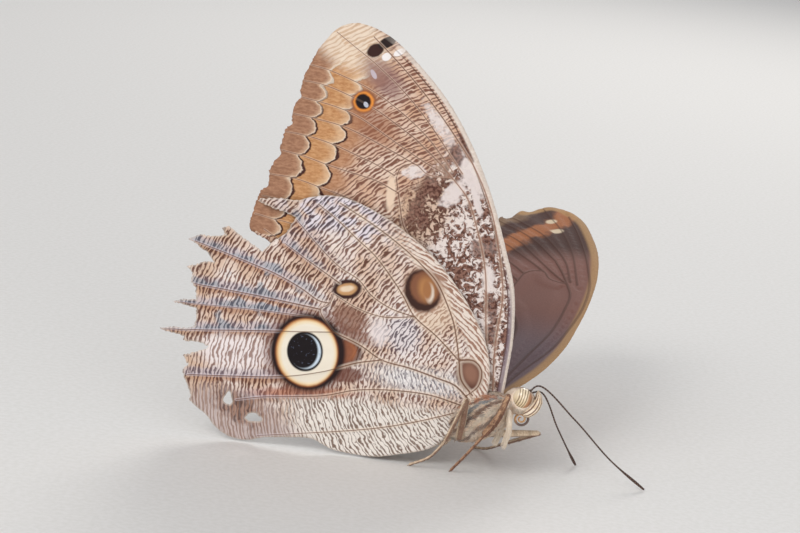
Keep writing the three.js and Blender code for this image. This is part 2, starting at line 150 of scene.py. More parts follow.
# %% A material under construction
class Paint:
    """A material, its node tree and its one surface shader."""

    def __init__(self, name, **constants):
        self.material = bpy.data.materials.new(name)
        self.material.use_nodes = True
        self.tree = self.material.node_tree
        self.shader = self.tree.nodes["Principled BSDF"]
        self.colour = None
        for socket, value in constants.items():
            self.shader.inputs[socket.replace("_", " ")].default_value = value

    def feed(self, socket, value):
        if isinstance(value, Wire):
            self.tree.links.new(value.socket, socket)
        else:
            socket.default_value = value

    def node(self, kind, settings=None, sockets=None):
        made = self.tree.nodes.new("ShaderNode" + kind)
        for name, value in (settings or {}).items():
            setattr(made, name, value)
        for name, value in (sockets or {}).items():
            self.feed(made.inputs[name], value)
        return Wire(self, next(socket for socket in made.outputs if socket.enabled))

    def attribute(self, name):
        return self.node("Attribute", {"attribute_name": name})

    def blend(self, share, under, over):
        """The colour under, with the colour over laid on it by the share."""
        mix = {"data_type": "RGBA", "clamp_factor": True}
        made = self.node("Mix", mix, {0: share, 6: under, 7: over})
        return Wire(self, made.socket.node.outputs[2])

    def lay(self, share, over):
        """Lays a colour by the share on what the paint has so far."""
        self.colour = self.blend(share, self.colour, over)

    def rise(self, value, low, high):
        """0 below low, 1 above high, and a soft step between them."""
        settings = {"interpolation_type": "SMOOTHSTEP"}
        return self.node("MapRange", settings, {0: value, 1: low, 2: high})

    def fall(self, value, low, high):
        """1 below low, 0 above high, with the same soft step."""
        return 1 - self.rise(value, low, high)

    def split(self, vector):
        """The three numbers of a vector."""
        parts = self.node("SeparateXYZ", {}, {0: vector})
        return [parts.output(axis) for axis in "XYZ"]

    def cloud(self, vector, scale, detail=2.0, roughness=0.5, twist=0.0):
        """Noise from 0 to 1 whose blots are about 1/scale across."""
        sockets = {"Vector": vector, "Scale": scale, "Detail": detail}
        sockets.update({"Roughness": roughness, "Distortion": twist})
        return self.node("TexNoise", {}, sockets)

    def stretched(self, vector, x, y, z=1.0):
        return self.node("VectorMath", {"operation": "MULTIPLY"}, {0: vector, 1: (x, y, z)})

    def reach(self, vector, centre, radii, turn=0.0):
        """Distance from a centre, as a share of an ellipse's radii."""
        sockets = {"Vector": vector, "Location": (*centre, 0), "Scale": (*radii, 1)}
        sockets["Rotation"] = (0, 0, turn)
        local = self.node("Mapping", {"vector_type": "TEXTURE"}, sockets)
        return self.node("VectorMath", {"operation": "LENGTH"}, {0: local}).output("Value")

    def relief(self, height, distance, strength=1.0):
        """Bump from a height, where distance is in millimetres."""
        sockets = {"Height": height, "Distance": distance * MM, "Strength": strength}
        self.feed(self.shader.inputs["Normal"], self.node("Bump", {}, sockets))

    def dress(self, roughness=None):
        """Feeds the finished colour, and a roughness that varies, to the shader."""
        self.feed(self.shader.inputs["Base Color"], self.colour)
        if roughness:
            self.feed(self.shader.inputs["Roughness"], roughness)


def tone(red, green, blue):
    """A colour as it is seen on a screen, as the linear values a shader wants."""
    return tuple(((value / 255 + 0.055) / 1.055) ** 2.4 for value in (red, green, blue)) + (1,)


print("shader helpers are ready")

# %% [markdown]
# ## Floor and light
# The animal stands on a plain pale table. A large soft lamp on the left gives its veins
# and fur a little shadow, a weaker one low in front opens the shadows, and one behind
# draws a thin bright line along the wing edges.

# %% Floor
paint = Paint("table", Roughness=0.7)
grain = paint.cloud(paint.node("NewGeometry"), 900, 3)
paint.colour = paint.blend(paint.rise(grain, 0.3, 0.7), tone(226, 224, 220), tone(232, 230, 227))
paint.dress()
paint.relief(grain, 0.02, 0.3)
AROUND = 96
turns = np.linspace(0, 2 * math.pi, AROUND + 1)[:-1]
rings = [0.4, 1.0, 3.0]
disc = [(r * math.cos(a), r * math.sin(a), 0) for r in rings for a in turns]
bands = [tuple(range(AROUND))]
for start in (0, AROUND):
    for i in range(AROUND):
        a, b = start + i, start + (i + 1) % AROUND
        bands.append((a, a + AROUND, b + AROUND, b))
floor = new_object("table", disc, bands)
floor.data.materials.append(paint.material)
print("floor bands:", len(rings))

# %% Lamps and sky
LAMPS = {
    "key": ((-0.45, -0.62, 0.62), 0.5, 3.7, (1.0, 0.99, 0.97)),
    "fill": ((0.28, -0.74, 0.17), 0.6, 1.9, (1.0, 0.99, 0.98)),
    "rim": ((0.2, 0.75, 0.6), 0.5, 3.0, (1.0, 0.98, 0.95)),
}
for name, (spot, size, power, colour) in LAMPS.items():
    lamp = bpy.data.objects.new(name, bpy.data.lights.new(name, "AREA"))
    lamp.data.shape = "DISK"
    lamp.data.size = size
    lamp.data.energy = power
    lamp.data.color = colour
    lamp.location = spot
    lamp.rotation_euler = (Vector((0, 0, 0.04)) - lamp.location).to_track_quat("-Z", "Y").to_euler()
    bpy.context.scene.collection.objects.link(lamp)
sky = bpy.data.worlds.new("sky")
sky.use_nodes = True
sky.node_tree.nodes["Background"].inputs["Color"].default_value = (0.93, 0.95, 1.0, 1)
sky.node_tree.nodes["Background"].inputs["Strength"].default_value = 0.45
bpy.context.scene.world = sky
print("lamps:", ", ".join(LAMPS))

# %% [markdown]
# ## Curves
# Veins, legs and feelers are all drawn as smooth curves through a few named points. The
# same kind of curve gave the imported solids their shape, so both agree. A path can be
# asked for its place and its heading at any share of its length.


# %% Smooth paths
class Path:
    """A smooth curve through points, read by the share of its length."""

    def __init__(self, points):
        points = np.array(points, float)
        if len(points) == 2:
            dense = np.linspace(points[0], points[1], 40)
        else:
            ends = [2 * points[0] - points[1], *points, 2 * points[-1] - points[-2]]
            dense = np.concatenate([self.span(*ends[i : i + 4]) for i in range(len(points) - 1)])
        steps = np.linalg.norm(np.diff(dense, axis=0), axis=1)
        keep = np.concatenate([[True], steps > 1e-6])
        self.points = dense[keep]
        along = np.concatenate([[0], np.cumsum(steps[steps > 1e-6])])
        self.length = along[-1]
        self.share = along / self.length

    @staticmethod
    def span(a, b, c, d):
        """One stretch of a centripetal spline, from b to c."""
        knots = np.cumsum([0] + [np.linalg.norm(q - p) ** 0.5 for p, q in ((a, b), (b, c), (c, d))])
        t = np.linspace(knots[1], knots[2], 24)[:, None]

        def between(p, q, start, end):
            return (p * (end - t) + q * (t - start)) / (end - start)

        ab = between(a, b, knots[0], knots[1])
        bc = between(b, c, knots[1], knots[2])
        cd = between(c, d, knots[2], knots[3])
        left = between(ab, bc, knots[0], knots[2])
        right = between(bc, cd, knots[1], knots[3])
        return between(left, right, knots[1], knots[2])

    def at(self, share):
        return np.stack([np.interp(share, self.share, axis) for axis in self.points.T], -1)

    def heading(self, share):
        share = np.asarray(share, float)
        ahead = self.at(np.clip(share + 0.004, 0, 1)) - self.at(np.clip(share - 0.004, 0, 1))
        return ahead / np.linalg.norm(ahead, axis=-1, keepdims=True)

    def every(self, step):
        count = max(2, round(self.length / step) + 1)
        return self.at(np.linspace(0, 1, count))


def new_piece(name, vertices, faces, materials, nodes):
    """A mesh piece in metres that rides on the body and stands for its CAD nodes."""
    piece = new_object(name, vertices, faces)
    for material in materials:
        piece.data.materials.append(material)
    piece.data.shade_smooth()
    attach(piece, "root")
    if nodes:
        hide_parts(*nodes)
    return piece


def set_values(mesh, name, values):
    """A number or a vector for every vertex, for shaders to read."""
    values = np.asarray(values, np.float32)
    if values.ndim == 1:
        layer = mesh.attributes.new(name, "FLOAT", "POINT")
        layer.data.foreach_set("value", values)
    else:
        layer = mesh.attributes.new(name, "FLOAT_VECTOR", "POINT")
        layer.data.foreach_set("vector", values.ravel())


def unroll(mesh, places):
    """The unwrap that a bake fills, from one flat place for each vertex."""
    corner = np.zeros(len(mesh.loops), np.int32)
    mesh.loops.foreach_get("vertex_index", corner)
    layout = mesh.uv_layers.new(name="OFBake")
    layout.data.foreach_set("uv", places[corner].astype(np.float32).ravel())


print("path and mesh helpers are ready")

# %% [markdown]
# ## Wings as sheets with veins
# A wing is two thin skins with hollow tubes, the veins, between them. It could be a flat
# card with a picture of veins, but then light would slide over it without a break. Here
# each wing is a real sheet: its outline and its vein lines become rows of points, the
# rest is filled with an even lattice, and a Delaunay triangulation joins them. Points
# near a vein are lifted on both faces, and the sheet sags a little between two veins.
# Each point also keeps what the pattern needs: its place in the flat wing, and its
# distance from a vein, from the outer margin, from the leading edge and from any edge.

# %% Wing outlines and veins, in the flat of a wing
SPAN = 76  # root to tip of a front wing
TIP_BEND = 2.2  # how far the tip leaves the flat
ROW_STEP, LATTICE_STEP, LATTICE_ROW = 0.5, 0.5, 0.433  # between points of a sheet
RIDGE_HEIGHT, RIDGE_WIDTH = 0.13, 0.15  # of a vein of weight 1, over one face
SHEET_HALF, EDGE_HALF, EDGE_SLOPE = 0.11, 0.04, 0.25  # half the thickness, and its taper
SAG, WAVE, CURL = 0.16, 0.14, 0.45  # between veins, over the sheet, and at a worn edge
HEM_HEIGHT, HEM_SOFTNESS = 0.35, 0.5  # where a hem meets the floor
BLOCK = 2000  # points worked on at a time, which bounds the memory

FORE_ROOT = [(-2.6, -4.6), (1.6, -3.2)]
FORE_COSTA = [
    (1.6, -3.2), (1.9, 1.6), (2.1, 9.4), (1.0, 18.8), (-2.0, 27.6), (-5.5, 36.3),
    (-10.4, 45.7), (-16.2, 54.0), (-22.9, 60.7), (-29.3, 65.6), (-35.4, 67.4),
    (-39.2, 66.3), (-43.0, 61.5),
]
FORE_MARGIN = [
    (-43.0, 61.5), (-45.2, 55.7), (-45.6, 52.9), (-45.3, 51.6), (-46.3, 50.3), (-46.7, 47.6),
    (-46.5, 46.2), (-47.7, 45.1), (-48.3, 41.1), (-47.9, 39.9), (-49.1, 38.5), (-49.9, 36.4),
    (-49.8, 33.4), (-51.1, 32.4), (-51.7, 30.5), (-52.3, 27.6), (-52.7, 25.3), (-52.3, 23.9),
    (-49.2, 22.7),
]
FORE_INNER = [(-49.2, 22.7), (-38.0, 15.8), (-26.0, 8.5), (-14.0, 1.0), (-2.6, -4.6)]
FORE_VEINS = {
    "subcosta": ([(-0.6, -2.4), (-1.3, 7.1), (-1.1, 17.4), (-2.5, 24.3), (-5.4, 33.7),
                  (-9.5, 41.6), (-13.9, 47.2), (-19.5, 53.5), (-26.5, 60.2), (-32.5, 65.2)], 1.2),
    "radius": ([(-1.8, -2.6), (-3.8, 12.0), (-5.2, 22.0), (-8.2, 31.0), (-10.5, 35.9),
                (-14.0, 39.6), (-17.5, 42.7), (-22.3, 46.5)], 1.25),
    "cubitus": ([(-2.0, -3.0), (-6.5, 8.0), (-10.2, 15.5), (-12.6, 19.9), (-15.7, 23.0),
                 (-19.8, 25.6), (-22.3, 28.8), (-23.6, 33.2), (-24.9, 38.3)], 1.2),
    "cell end": ([(-24.9, 38.3), (-24.3, 40.2), (-21.7, 41.4), (-18.8, 39.6), (-14.0, 39.6)], 0.8),
    "inner": ([(-2.0, -3.6), (-20, 7.2), (-36.0, 17.2), (-49.6, 24.6)], 0.9),
}
# Veins and folds that bound the marginal cells, from the hind corner to the tip.
FORE_LANES = [
    [(-40.0, 21.6), (-46.0, 24.2), (-52.4, 24.3)],
    [(-28.0, 18.0), (-44.0, 26.3), (-48.1, 26.9), (-51.8, 27.5)],
    [(-20.0, 17.0), (-32.0, 24.5), (-42.4, 29.3), (-46.1, 30.7), (-50.7, 31.3)],
    [(-17.3, 24.9), (-22.8, 27.7), (-28.3, 30.5), (-33.6, 32.9), (-39.1, 34.3), (-45.0, 35.6),
     (-49.6, 35.8)],
    [(-24.0, 35.2), (-28.6, 37.1), (-33.6, 38.1), (-38.1, 38.9), (-43.1, 40.1), (-47.8, 40.8)],
    [(-24.8, 38.4), (-29.0, 40.3), (-33.5, 41.8), (-38.0, 43.2), (-43.0, 44.2), (-47.6, 44.6)],
    [(-21.7, 41.4), (-26.9, 43.6), (-31.2, 45.3), (-36.0, 46.9), (-40.6, 47.7), (-46.4, 48.3)],
    [(-14.0, 39.6), (-19.6, 41.9), (-23.7, 44.0), (-28.7, 46.7), (-33.3, 49.1), (-37.5, 50.5),
     (-41.9, 51.3), (-45.6, 51.7)],
    [(-22.3, 46.5), (-26.8, 49.1), (-30.5, 51.1), (-36.5, 53.4), (-41.4, 54.7), (-45.1, 55.0)],
    [(-14.0, 40.8), (-20.3, 47.4), (-27.7, 52.6), (-32.3, 55.0), (-36.2, 56.4), (-40.7, 57.7),
     (-44.2, 58.2)],
    [(-12.0, 40.6), (-22.5, 52.6), (-31.0, 59.6), (-36.0, 62.8), (-39.8, 65.2)],
]
for number, lane in enumerate(FORE_LANES[1:]):
    FORE_VEINS[f"lane {number}"] = (lane, 0.75)

HIND_ROOT = [(-6.8, -8.2), (-1.6, -3.4)]
HIND_COSTA = [
    (-1.6, -3.4), (-1.6, 1.6), (-3.6, 8.4), (-8.5, 16.0), (-14.7, 22.8), (-20.3, 27.0),
    (-27.1, 30.8), (-34.3, 33.2), (-39.2, 33.0), (-43.1, 31.6),
]
HIND_TORN = [
    (-43.1, 31.6), (-46.9, 31.4), (-50.5, 31.0), (-51.5, 30.2), (-49.0, 29.6), (-46.2, 28.8),
    (-43.6, 28.0), (-45.2, 24.6), (-47.6, 22.6), (-49.4, 20.4), (-53.0, 22.3), (-56.6, 24.6),
    (-58.0, 24.0), (-56.9, 22.6), (-59.0, 22.2), (-62.0, 22.2), (-64.4, 21.0), (-62.6, 20.0),
    (-61.6, 19.2), (-60.2, 18.5), (-58.9, 16.9), (-61.4, 16.5), (-63.9, 15.2), (-62.9, 14.1),
    (-63.0, 12.4), (-61.9, 11.1), (-61.5, 9.0), (-64.0, 8.6), (-66.3, 7.8), (-64.2, 7.4),
    (-61.4, 7.1), (-61.1, 5.5), (-61.5, 3.1), (-65.0, 2.7), (-68.4, 1.9), (-65.6, 1.3),
    (-63.3, 1.0), (-63.3, 0.1), (-60.6, 0.3), (-58.2, -0.2), (-58.3, -0.9), (-60.6, -1.8),
    (-63.0, -3.0), (-61.9, -4.6), (-62.8, -6.0), (-61.8, -8.6), (-60.7, -11.0), (-60.8, -12.3),
]
HIND_HEM = [
    (-60.8, -12.3), (-59.2, -13.4), (-57.2, -14.6), (-55.6, -16.4), (-53.8, -17.8),
    (-51.2, -18.9), (-48.6, -19.1), (-45.4, -17.9), (-40.0, -17.1), (-35.4, -16.8),
    (-31.5, -18.4), (-27.0, -19.1), (-23.4, -19.1), (-17.4, -17.6), (-11.6, -15.6),
    (-8.6, -12.6), (-6.8, -8.2),
]
WHOLE_MARGIN = [(-39.2, 33.0)]
for step in range(2, 19):
    angle = 2.42 + 2.02 * step / 18
    radius = (33.4 if step % 3 == 1 else 32.6) - 5.5 * max(0, (step - 9) / 9) ** 2
    WHOLE_MARGIN.append((-31 + radius * math.cos(angle), 3 + radius * math.sin(angle)))
WHOLE_HEM = [WHOLE_MARGIN[-1], (-28.0, -20.0), (-18.0, -16.0), (-10.2, -12.0), (-6.8, -8.2)]
HIND_VEINS = {
    "subcosta": ([(-4.5, -3.5), (-7.2, -0.5), (-8.1, 3.5), (-8.9, 6.8), (-10.1, 10.9),
                  (-11.9, 14.6), (-14.5, 18.8), (-17.6, 21.6), (-22.1, 24.9), (-28.0, 28.4),
                  (-35.2, 32.0)], 1.15),
    "radius": ([(-8.1, 3.3), (-13.1, 7.7), (-18.1, 11.3), (-20.6, 14.9), (-23.4, 18.4),
                (-27.3, 22.5), (-31.0, 25.2), (-34.8, 28.2), (-39.5, 31.3)], 1.0),
    "shoulder": ([(-8.1, 3.4), (-5.2, 3.7), (-3.4, 2.0), (-3.6, -1.4), (-5.6, -3.6)], 1.2),
    "lane 1": ([(-18.0, 11.1), (-22.6, 12.1), (-27.0, 14.4), (-29.7, 17.1), (-33.8, 19.2),
                (-37.3, 21.9), (-43.4, 27.6)], 0.8),
    "lane 2": ([(-33.5, 16.0), (-39.3, 19.2), (-45.2, 22.6)], 0.8),
    "lane 3": ([(-34.9, 11.7), (-37.2, 11.9), (-40.9, 13.9), (-46.2, 16.2), (-51.8, 17.8),
                (-58.5, 19.6), (-64.0, 20.9)], 0.85),
    "lane 4": ([(-36.7, 10.2), (-50.4, 11.4), (-62.6, 12.0)], 0.9),
    "lane 5": ([(-38.0, 8.4), (-50.0, 8.4), (-66.0, 7.8)], 0.55),
    "lane 6": ([(-33.6, 5.9), (-45.0, 4.6), (-56.1, 3.3), (-67.8, 1.9)], 0.9),
    "lane 7": ([(-23.4, 1.5), (-28.2, 0.2), (-34.6, -2.4), (-42.4, -4.5), (-53.5, -5.9),
                (-61.8, -6.8)], 0.95),
    "lane 8": ([(-5.5, -6.0), (-14.0, -4.4), (-26.9, -5.2), (-34.1, -7.4), (-40.4, -8.5),
                (-46.7, -9.4), (-51.5, -10.6)], 0.95),
    "cell upper": ([(-18.0, 11.1), (-24.0, 10.3), (-28.8, 11.2), (-34.5, 13.7)], 0.75),
    "cell end": ([(-33.6, 5.9), (-35.5, 8.0), (-36.7, 10.2), (-34.9, 11.7), (-34.5, 13.7)], 0.75),
    "median": ([(-4.5, -5.0), (-8.2, -1.9), (-12.1, -0.8), (-17.8, 0.6), (-23.4, 1.5),
                (-28.0, 3.9), (-33.6, 5.9)], 1.3),
    "inner": ([(-5.8, -6.8), (-20.0, -12.0), (-46.5, -17.6)], 0.8),
}
HOLES = [((-53.1, -10.6), 0.85, 1.35), ((-47.6, -13.9), 1.6, 0.95)]


# %% The plane that a wing lies in
def wing_plane(root, ahead, upward):
    """Turns a place in a flat wing, and a height over it, into a place in the model."""
    root, ahead, upward = (np.array(axis, float) for axis in (root, ahead, upward))
    outer = np.cross(ahead, upward)
    outer /= np.linalg.norm(outer)

    def on_plane(flat, height):
        bend = TIP_BEND * (flat**2).sum(1) / SPAN**2
        spread = flat[:, :1] * ahead + flat[:, 1:] * upward
        return root + spread + (height - bend)[:, None] * outer

    return on_plane


def distance_to(points, lines):
    """Distance of points from the nearest of many short lines, and that line's number."""
    best = np.full(len(points), 1e9)
    which = np.zeros(len(points), int)
    starts = lines[:, 0]
    along = lines[:, 1] - starts
    size = (along**2).sum(1) + 1e-12
    for first in range(0, len(points), BLOCK):
        block = points[first : first + BLOCK]
        offset = block[:, None] - starts[None]
        share = np.clip((offset * along[None]).sum(2) / size, 0, 1)
        gap = np.linalg.norm(offset - share[..., None] * along[None], axis=2)
        which[first : first + BLOCK] = gap.argmin(1)
        best[first : first + BLOCK] = gap.min(1)
    return best, which


def inside(points, lines):
    """True where a ray from the point crosses the outline an odd number of times."""
    result = np.zeros(len(points), bool)
    (x0, y0), (x1, y1) = lines[:, 0].T, lines[:, 1].T
    rise = np.where(np.abs(y1 - y0) < 1e-9, 1e-9, y1 - y0)
    for first in range(0, len(points), BLOCK):
        x, y = points[first : first + BLOCK].T
        level = (y0[None] > y[:, None]) != (y1[None] > y[:, None])
        cross = x0[None] + (y[:, None] - y0[None]) * ((x1 - x0) / rise)[None]
        result[first : first + BLOCK] = (level & (x[:, None] < cross)).sum(1) % 2 == 1
    return result


# %% Outlines with worn edges
def worn(points, chance, amount):
    """Points moved a little, as a worn edge is never smooth. The ends stay."""
    moved = points + chance.normal(0, amount, points.shape)
    moved[0], moved[-1] = points[0], points[-1]
    return moved


def closed_outline(stretches, chance):
    """One closed outline from stretches of (points, smooth or not, wear)."""
    result = []
    for points, smooth, wear in stretches:
        if smooth:
            line = Path(points).every(0.4)
        else:
            corners = np.array(points, float)
            pieces = []
            for a, b in zip(corners[:-1], corners[1:]):
                count = max(1, round(np.linalg.norm(b - a) / 0.3))
                pieces.append(a + (b - a) * np.arange(count)[:, None] / count)
            line = np.concatenate([*pieces, corners[-1:]])
        result.append(worn(line, chance, wear)[:-1])
    return np.concatenate(result)


def worn_hole(centre, wide, high, chance):
    angles = np.linspace(0, 2 * math.pi, 19)[:-1]
    reach = 1 + 0.16 * np.sin(3 * angles + centre[0]) + chance.normal(0, 0.05, 18)
    ring = np.stack([wide * np.cos(angles) * reach, high * np.sin(angles) * reach], 1)
    return np.array(centre) + ring


# %% The wing sheet
def as_lines(ring):
    return np.stack([ring, np.roll(ring, -1, axis=0)], 1)


def sheet_points(outline, holes, veins, chance):
    """Outline, vein rows and lattice, with no two points closer than they need to be."""
    rows = []
    for points, weight in veins.values():
        path = Path(points)
        share = np.linspace(0, 1, max(4, round(path.length / ROW_STEP)))
        middle, ahead = path.at(share), path.heading(share)
        across = np.stack([-ahead[:, 1], ahead[:, 0]], 1)
        rows += [middle + across * offset * weight for offset in (0, 0.1, -0.1, 0.24, -0.24)]
    low, high = outline.min(0), outline.max(0)
    x, y = np.meshgrid(
        np.arange(low[0], high[0], LATTICE_STEP), np.arange(low[1], high[1], LATTICE_ROW))
    x = x + LATTICE_STEP / 2 * (np.arange(x.shape[0]) % 2)[:, None]
    lattice = np.stack([x.ravel(), y.ravel()], 1)
    lattice = lattice + chance.normal(0, 0.04, lattice.shape)
    rings = [outline, *holes]
    lines = np.concatenate([as_lines(ring) for ring in rings])
    kept, taken = list(np.concatenate(rings)), {}

    def free(point, gap):
        cell = (int(point[0] // 0.4), int(point[1] // 0.4))
        for i in (-1, 0, 1):
            for j in (-1, 0, 1):
                for other in taken.get((cell[0] + i, cell[1] + j), ()):
                    if (point[0] - other[0]) ** 2 + (point[1] - other[1]) ** 2 < gap * gap:
                        return False
        taken.setdefault(cell, []).append(point)
        return True

    for ring in rings:
        for point in ring:
            free(point, 0)
    fixed = len(kept)
    for points, gap in ((np.concatenate(rows), 0.08), (lattice, 0.3)):
        points = points[inside(points, lines)]
        kept += [point for point in points if free(point, gap)]
    edges, start = [], 0
    for ring in rings:
        count = len(ring)
        edges += [(start + i, start + (i + 1) % count) for i in range(count)]
        start += count
    print("  points:", len(kept), "of which on edges:", fixed)
    return kept, edges, lines


def vein_fields(points, veins):
    """Distance from the nearest vein, its weight, and the side of it."""
    lines, weights = [], []
    for path_points, weight in veins.values():
        path = Path(path_points).every(0.8)
        lines.append(np.stack([path[:-1], path[1:]], 1))
        weights.append(np.linspace(weight, weight * 0.6, len(path) - 1))
    lines, weights = np.concatenate(lines), np.concatenate(weights)
    gap, which = distance_to(points, lines)
    along = lines[which, 1] - lines[which, 0]
    offset = points - lines[which, 0]
    side = -np.sign(along[:, 0] * offset[:, 1] - along[:, 1] * offset[:, 0])
    return gap, weights[which], gap * side


def triangulated(points, edges, lines):
    """The points that the sheet uses and its triangles, all turned the same way."""
    made = delaunay_2d_cdt([Vector(p) for p in points], edges, [], 0, 1e-5)
    flat = np.array([tuple(p) for p in made[0]])
    triangles = np.array(made[2])
    triangles = triangles[inside(flat[triangles].mean(1), lines)]
    used = np.unique(triangles)
    number = np.full(len(flat), -1)
    number[used] = np.arange(len(used))
    flat, triangles = flat[used], number[triangles]
    a, b, c = (flat[triangles[:, k]] for k in range(3))
    turn = (b - a)[:, 0] * (c - a)[:, 1] - (b - a)[:, 1] * (c - a)[:, 0]
    triangles[turn < 0] = triangles[turn < 0][:, ::-1]
    return flat, triangles


def both_faces(triangles, outer, inner):
    """The front, the back and the rim of a sheet, all facing out."""
    count = len(outer)
    pairs = np.concatenate([triangles[:, [0, 1]], triangles[:, [1, 2]], triangles[:, [2, 0]]])
    _, index, times = np.unique(
        np.sort(pairs, 1), axis=0, return_index=True, return_counts=True)
    border = pairs[index[times == 1]]
    rim = np.stack([border[:, 1], border[:, 0], border[:, 0] + count, border[:, 1] + count], 1)
    front, back = triangles, triangles[:, ::-1] + count
    a, b, c = (outer[corner] for corner in triangles[0])
    if np.dot(np.cross(b - a, c - a), outer[0] - inner[0]) < 0:
        front, back, rim = front[:, ::-1], back[:, ::-1], rim[:, ::-1]
    return front, back, rim


# %% One wing from its sheet
def make_wing(name, node, plane, outline, holes, veins, edges_of, faces, seed):
    """One wing: its two faces, their rim, and what its patterns read."""
    chance = np.random.default_rng(seed)
    points, edges, lines = sheet_points(outline, holes, veins, chance)
    flat, triangles = triangulated(points, edges, lines)
    gap, weight, side = vein_fields(flat, veins)
    edge_gap, _ = distance_to(flat, lines)
    rim_gap, lead_gap = (
        distance_to(flat, np.stack([line[:-1], line[1:]], 1))[0] for line in edges_of
    )
    ridge = RIDGE_HEIGHT * weight * np.exp(-((gap / (RIDGE_WIDTH * weight)) ** 2))
    half = np.minimum(SHEET_HALF, EDGE_HALF + edge_gap * EDGE_SLOPE)
    half = half + ridge * np.minimum(1, edge_gap + 0.2)
    sag = SAG * np.sin(np.clip(side, -3.2, 3.2) / 3.2 * math.pi)
    wave = WAVE * np.sin(flat[:, 0] * 0.31 + 1.3) * np.sin(flat[:, 1] * 0.27 + seed)
    curl = CURL * np.exp(-edge_gap / 0.9) * np.sin(flat[:, 0] * 1.1 + flat[:, 1] * 0.8)
    torn = np.exp(-((rim_gap / 3.0) ** 2))
    middle = sag + wave + curl * torn
    outer = plane(flat, middle + half)
    inner = plane(flat, middle - half)
    # A hem that meets the floor bends along it.
    under = FLOOR + HEM_HEIGHT - plane(flat, middle)[:, 2]
    lift = (under + np.sqrt(under**2 + HEM_SOFTNESS**2)) / 2
    outer[:, 2] += lift
    inner[:, 2] += lift

    front, back, rim = both_faces(triangles, outer, inner)
    polygons = front.tolist() + back.tolist() + rim.tolist()
    vertices = to_metres(np.concatenate([outer, inner]))
    piece = new_piece(name, vertices, polygons, [p.material for p in faces], [node])
    mesh = piece.data
    side_of = np.zeros(len(polygons), np.int32)
    side_of[len(front) : len(front) + len(back)] = 1
    mesh.polygons.foreach_set("material_index", side_of)

    set_values(mesh, "flat", np.tile(np.column_stack([flat, np.zeros(len(flat))]), (2, 1)))
    fields = {"vein": gap / weight, "rim": rim_gap, "lead": lead_gap, "edge": edge_gap}
    fields["above"] = np.clip(1 - side / 2.6, 0, 1) * (side > 0)
    fields["below"] = np.clip(1 + side / 2.6, 0, 1) * (side <= 0)
    for field, values in fields.items():
        set_values(mesh, field, np.tile(values, 2))

    low = flat.min(0)
    size = (flat.max(0) - low).max()
    unit = (flat - low) / size
    unroll(mesh, np.concatenate([unit * 0.49 + 0.005, unit * 0.49 + (0.505, 0.005)]))
    print(name, "triangles:", len(front) * 2 + len(rim) * 2)
    return piece


def add_row_field(piece, divisions):
    """How far a place is from the veins that bound its marginal cell: 0 on one, 1 between."""
    mesh = piece.data
    flat = np.zeros(len(mesh.vertices) * 3, np.float32)
    mesh.attributes["flat"].data.foreach_get("vector", flat)
    x, z, _ = flat.reshape(-1, 3).T
    signed = []
    for points in divisions:
        (x0, z0), (x1, z1) = points[-3], points[-1]
        size = math.hypot(x1 - x0, z1 - z0)
        signed.append(((x - x0) * (z1 - z0) - (z - z0) * (x1 - x0)) / size)
    bulge = np.zeros(len(x))
    for a, b in zip(signed[:-1], signed[1:]):
        share = a / (a - b + 1e-9)
        bulge = np.where((a > 0) & (b < 0), 4 * share * (1 - share), bulge)
    set_values(mesh, "bulge", bulge)
    print(piece.name, "marginal cells:", len(divisions) - 1)


# %% [markdown]
# ## Scales on the wings
# The colours of a wing are rows of tiny overlapping scales, so no edge in the pattern is
# quite sharp and nothing shines like paint. The pattern could be a picture, but here it
# is worked out from the place in the flat wing. Streaks that cross the veins come from a
# sine of the distance from a centre, broken up by a noise. Eyespots are distances from
# named centres, and the scalloped cells of the margin come from the distance to the
# margin and to the veins.


# %% What the wing patterns share
class WingPaint(Paint):
    """A paint that reads a place in the flat wing, in millimetres."""

    def __init__(self, name):
        sheen = {"Sheen_Weight": 0.12, "Sheen_Roughness": 0.4}
        super().__init__(name, Roughness=0.72, Specular_IOR_Level=0.22, **sheen)
        self.flat = self.attribute("flat").output("Vector")
        self.x, self.z, _ = self.split(self.flat)

    def number(self, name):
        return self.attribute(name).output("Fac")

    def wander(self, amount, scale, detail=2, roughness=0.5):
        """A noise of either sign, for lines that a ruler did not draw."""
        return (self.cloud(self.flat, scale, detail, roughness) - 0.5) * amount

    def streaks(self, centre, pitch, length, seed, sway):
        """Ripples along circles round a centre, broken into dashes, from about 0 to 1."""
        x, z = self.x - centre[0], self.z - centre[1]
        radius = x.math("SQRT", x * x + z * z)
        angle = x.math("ARCTAN2", z, 0 - x)
        bend = self.wander(sway, 0.42, 2.5)
        sockets = {0: radius * (1.1 / pitch), 1: angle * (46 / length), 2: seed}
        broken = self.cloud(self.node("CombineXYZ", {}, sockets), 1.0, 2.0, 0.5)
        phase = (radius + bend) * (2 * math.pi / pitch) + broken * 11
        return phase.sine() * 0.2 + broken * 0.8 + 0.1

    def spot(self, centre, radii, turn=0.0, soft=0.12, wobble=0.0):
        """1 inside an ellipse, 0 outside, with an edge as soft as scales are."""
        reach = self.reach(self.flat, centre, radii, turn)
        if wobble:
            reach = reach + self.wander(wobble, 0.9)
        return self.fall(reach, 1 - soft, 1 + soft)

    def finish(self):
        """Feeds the pattern to the shader, with the tiny relief of the scales."""
        rows = self.cloud(self.stretched(self.flat, 3.2, 3.2), 2.0, 3.0, 0.6)
        self.dress(0.62 + rows * 0.25)
        self.relief(rows, 0.05, 0.5)
        return self


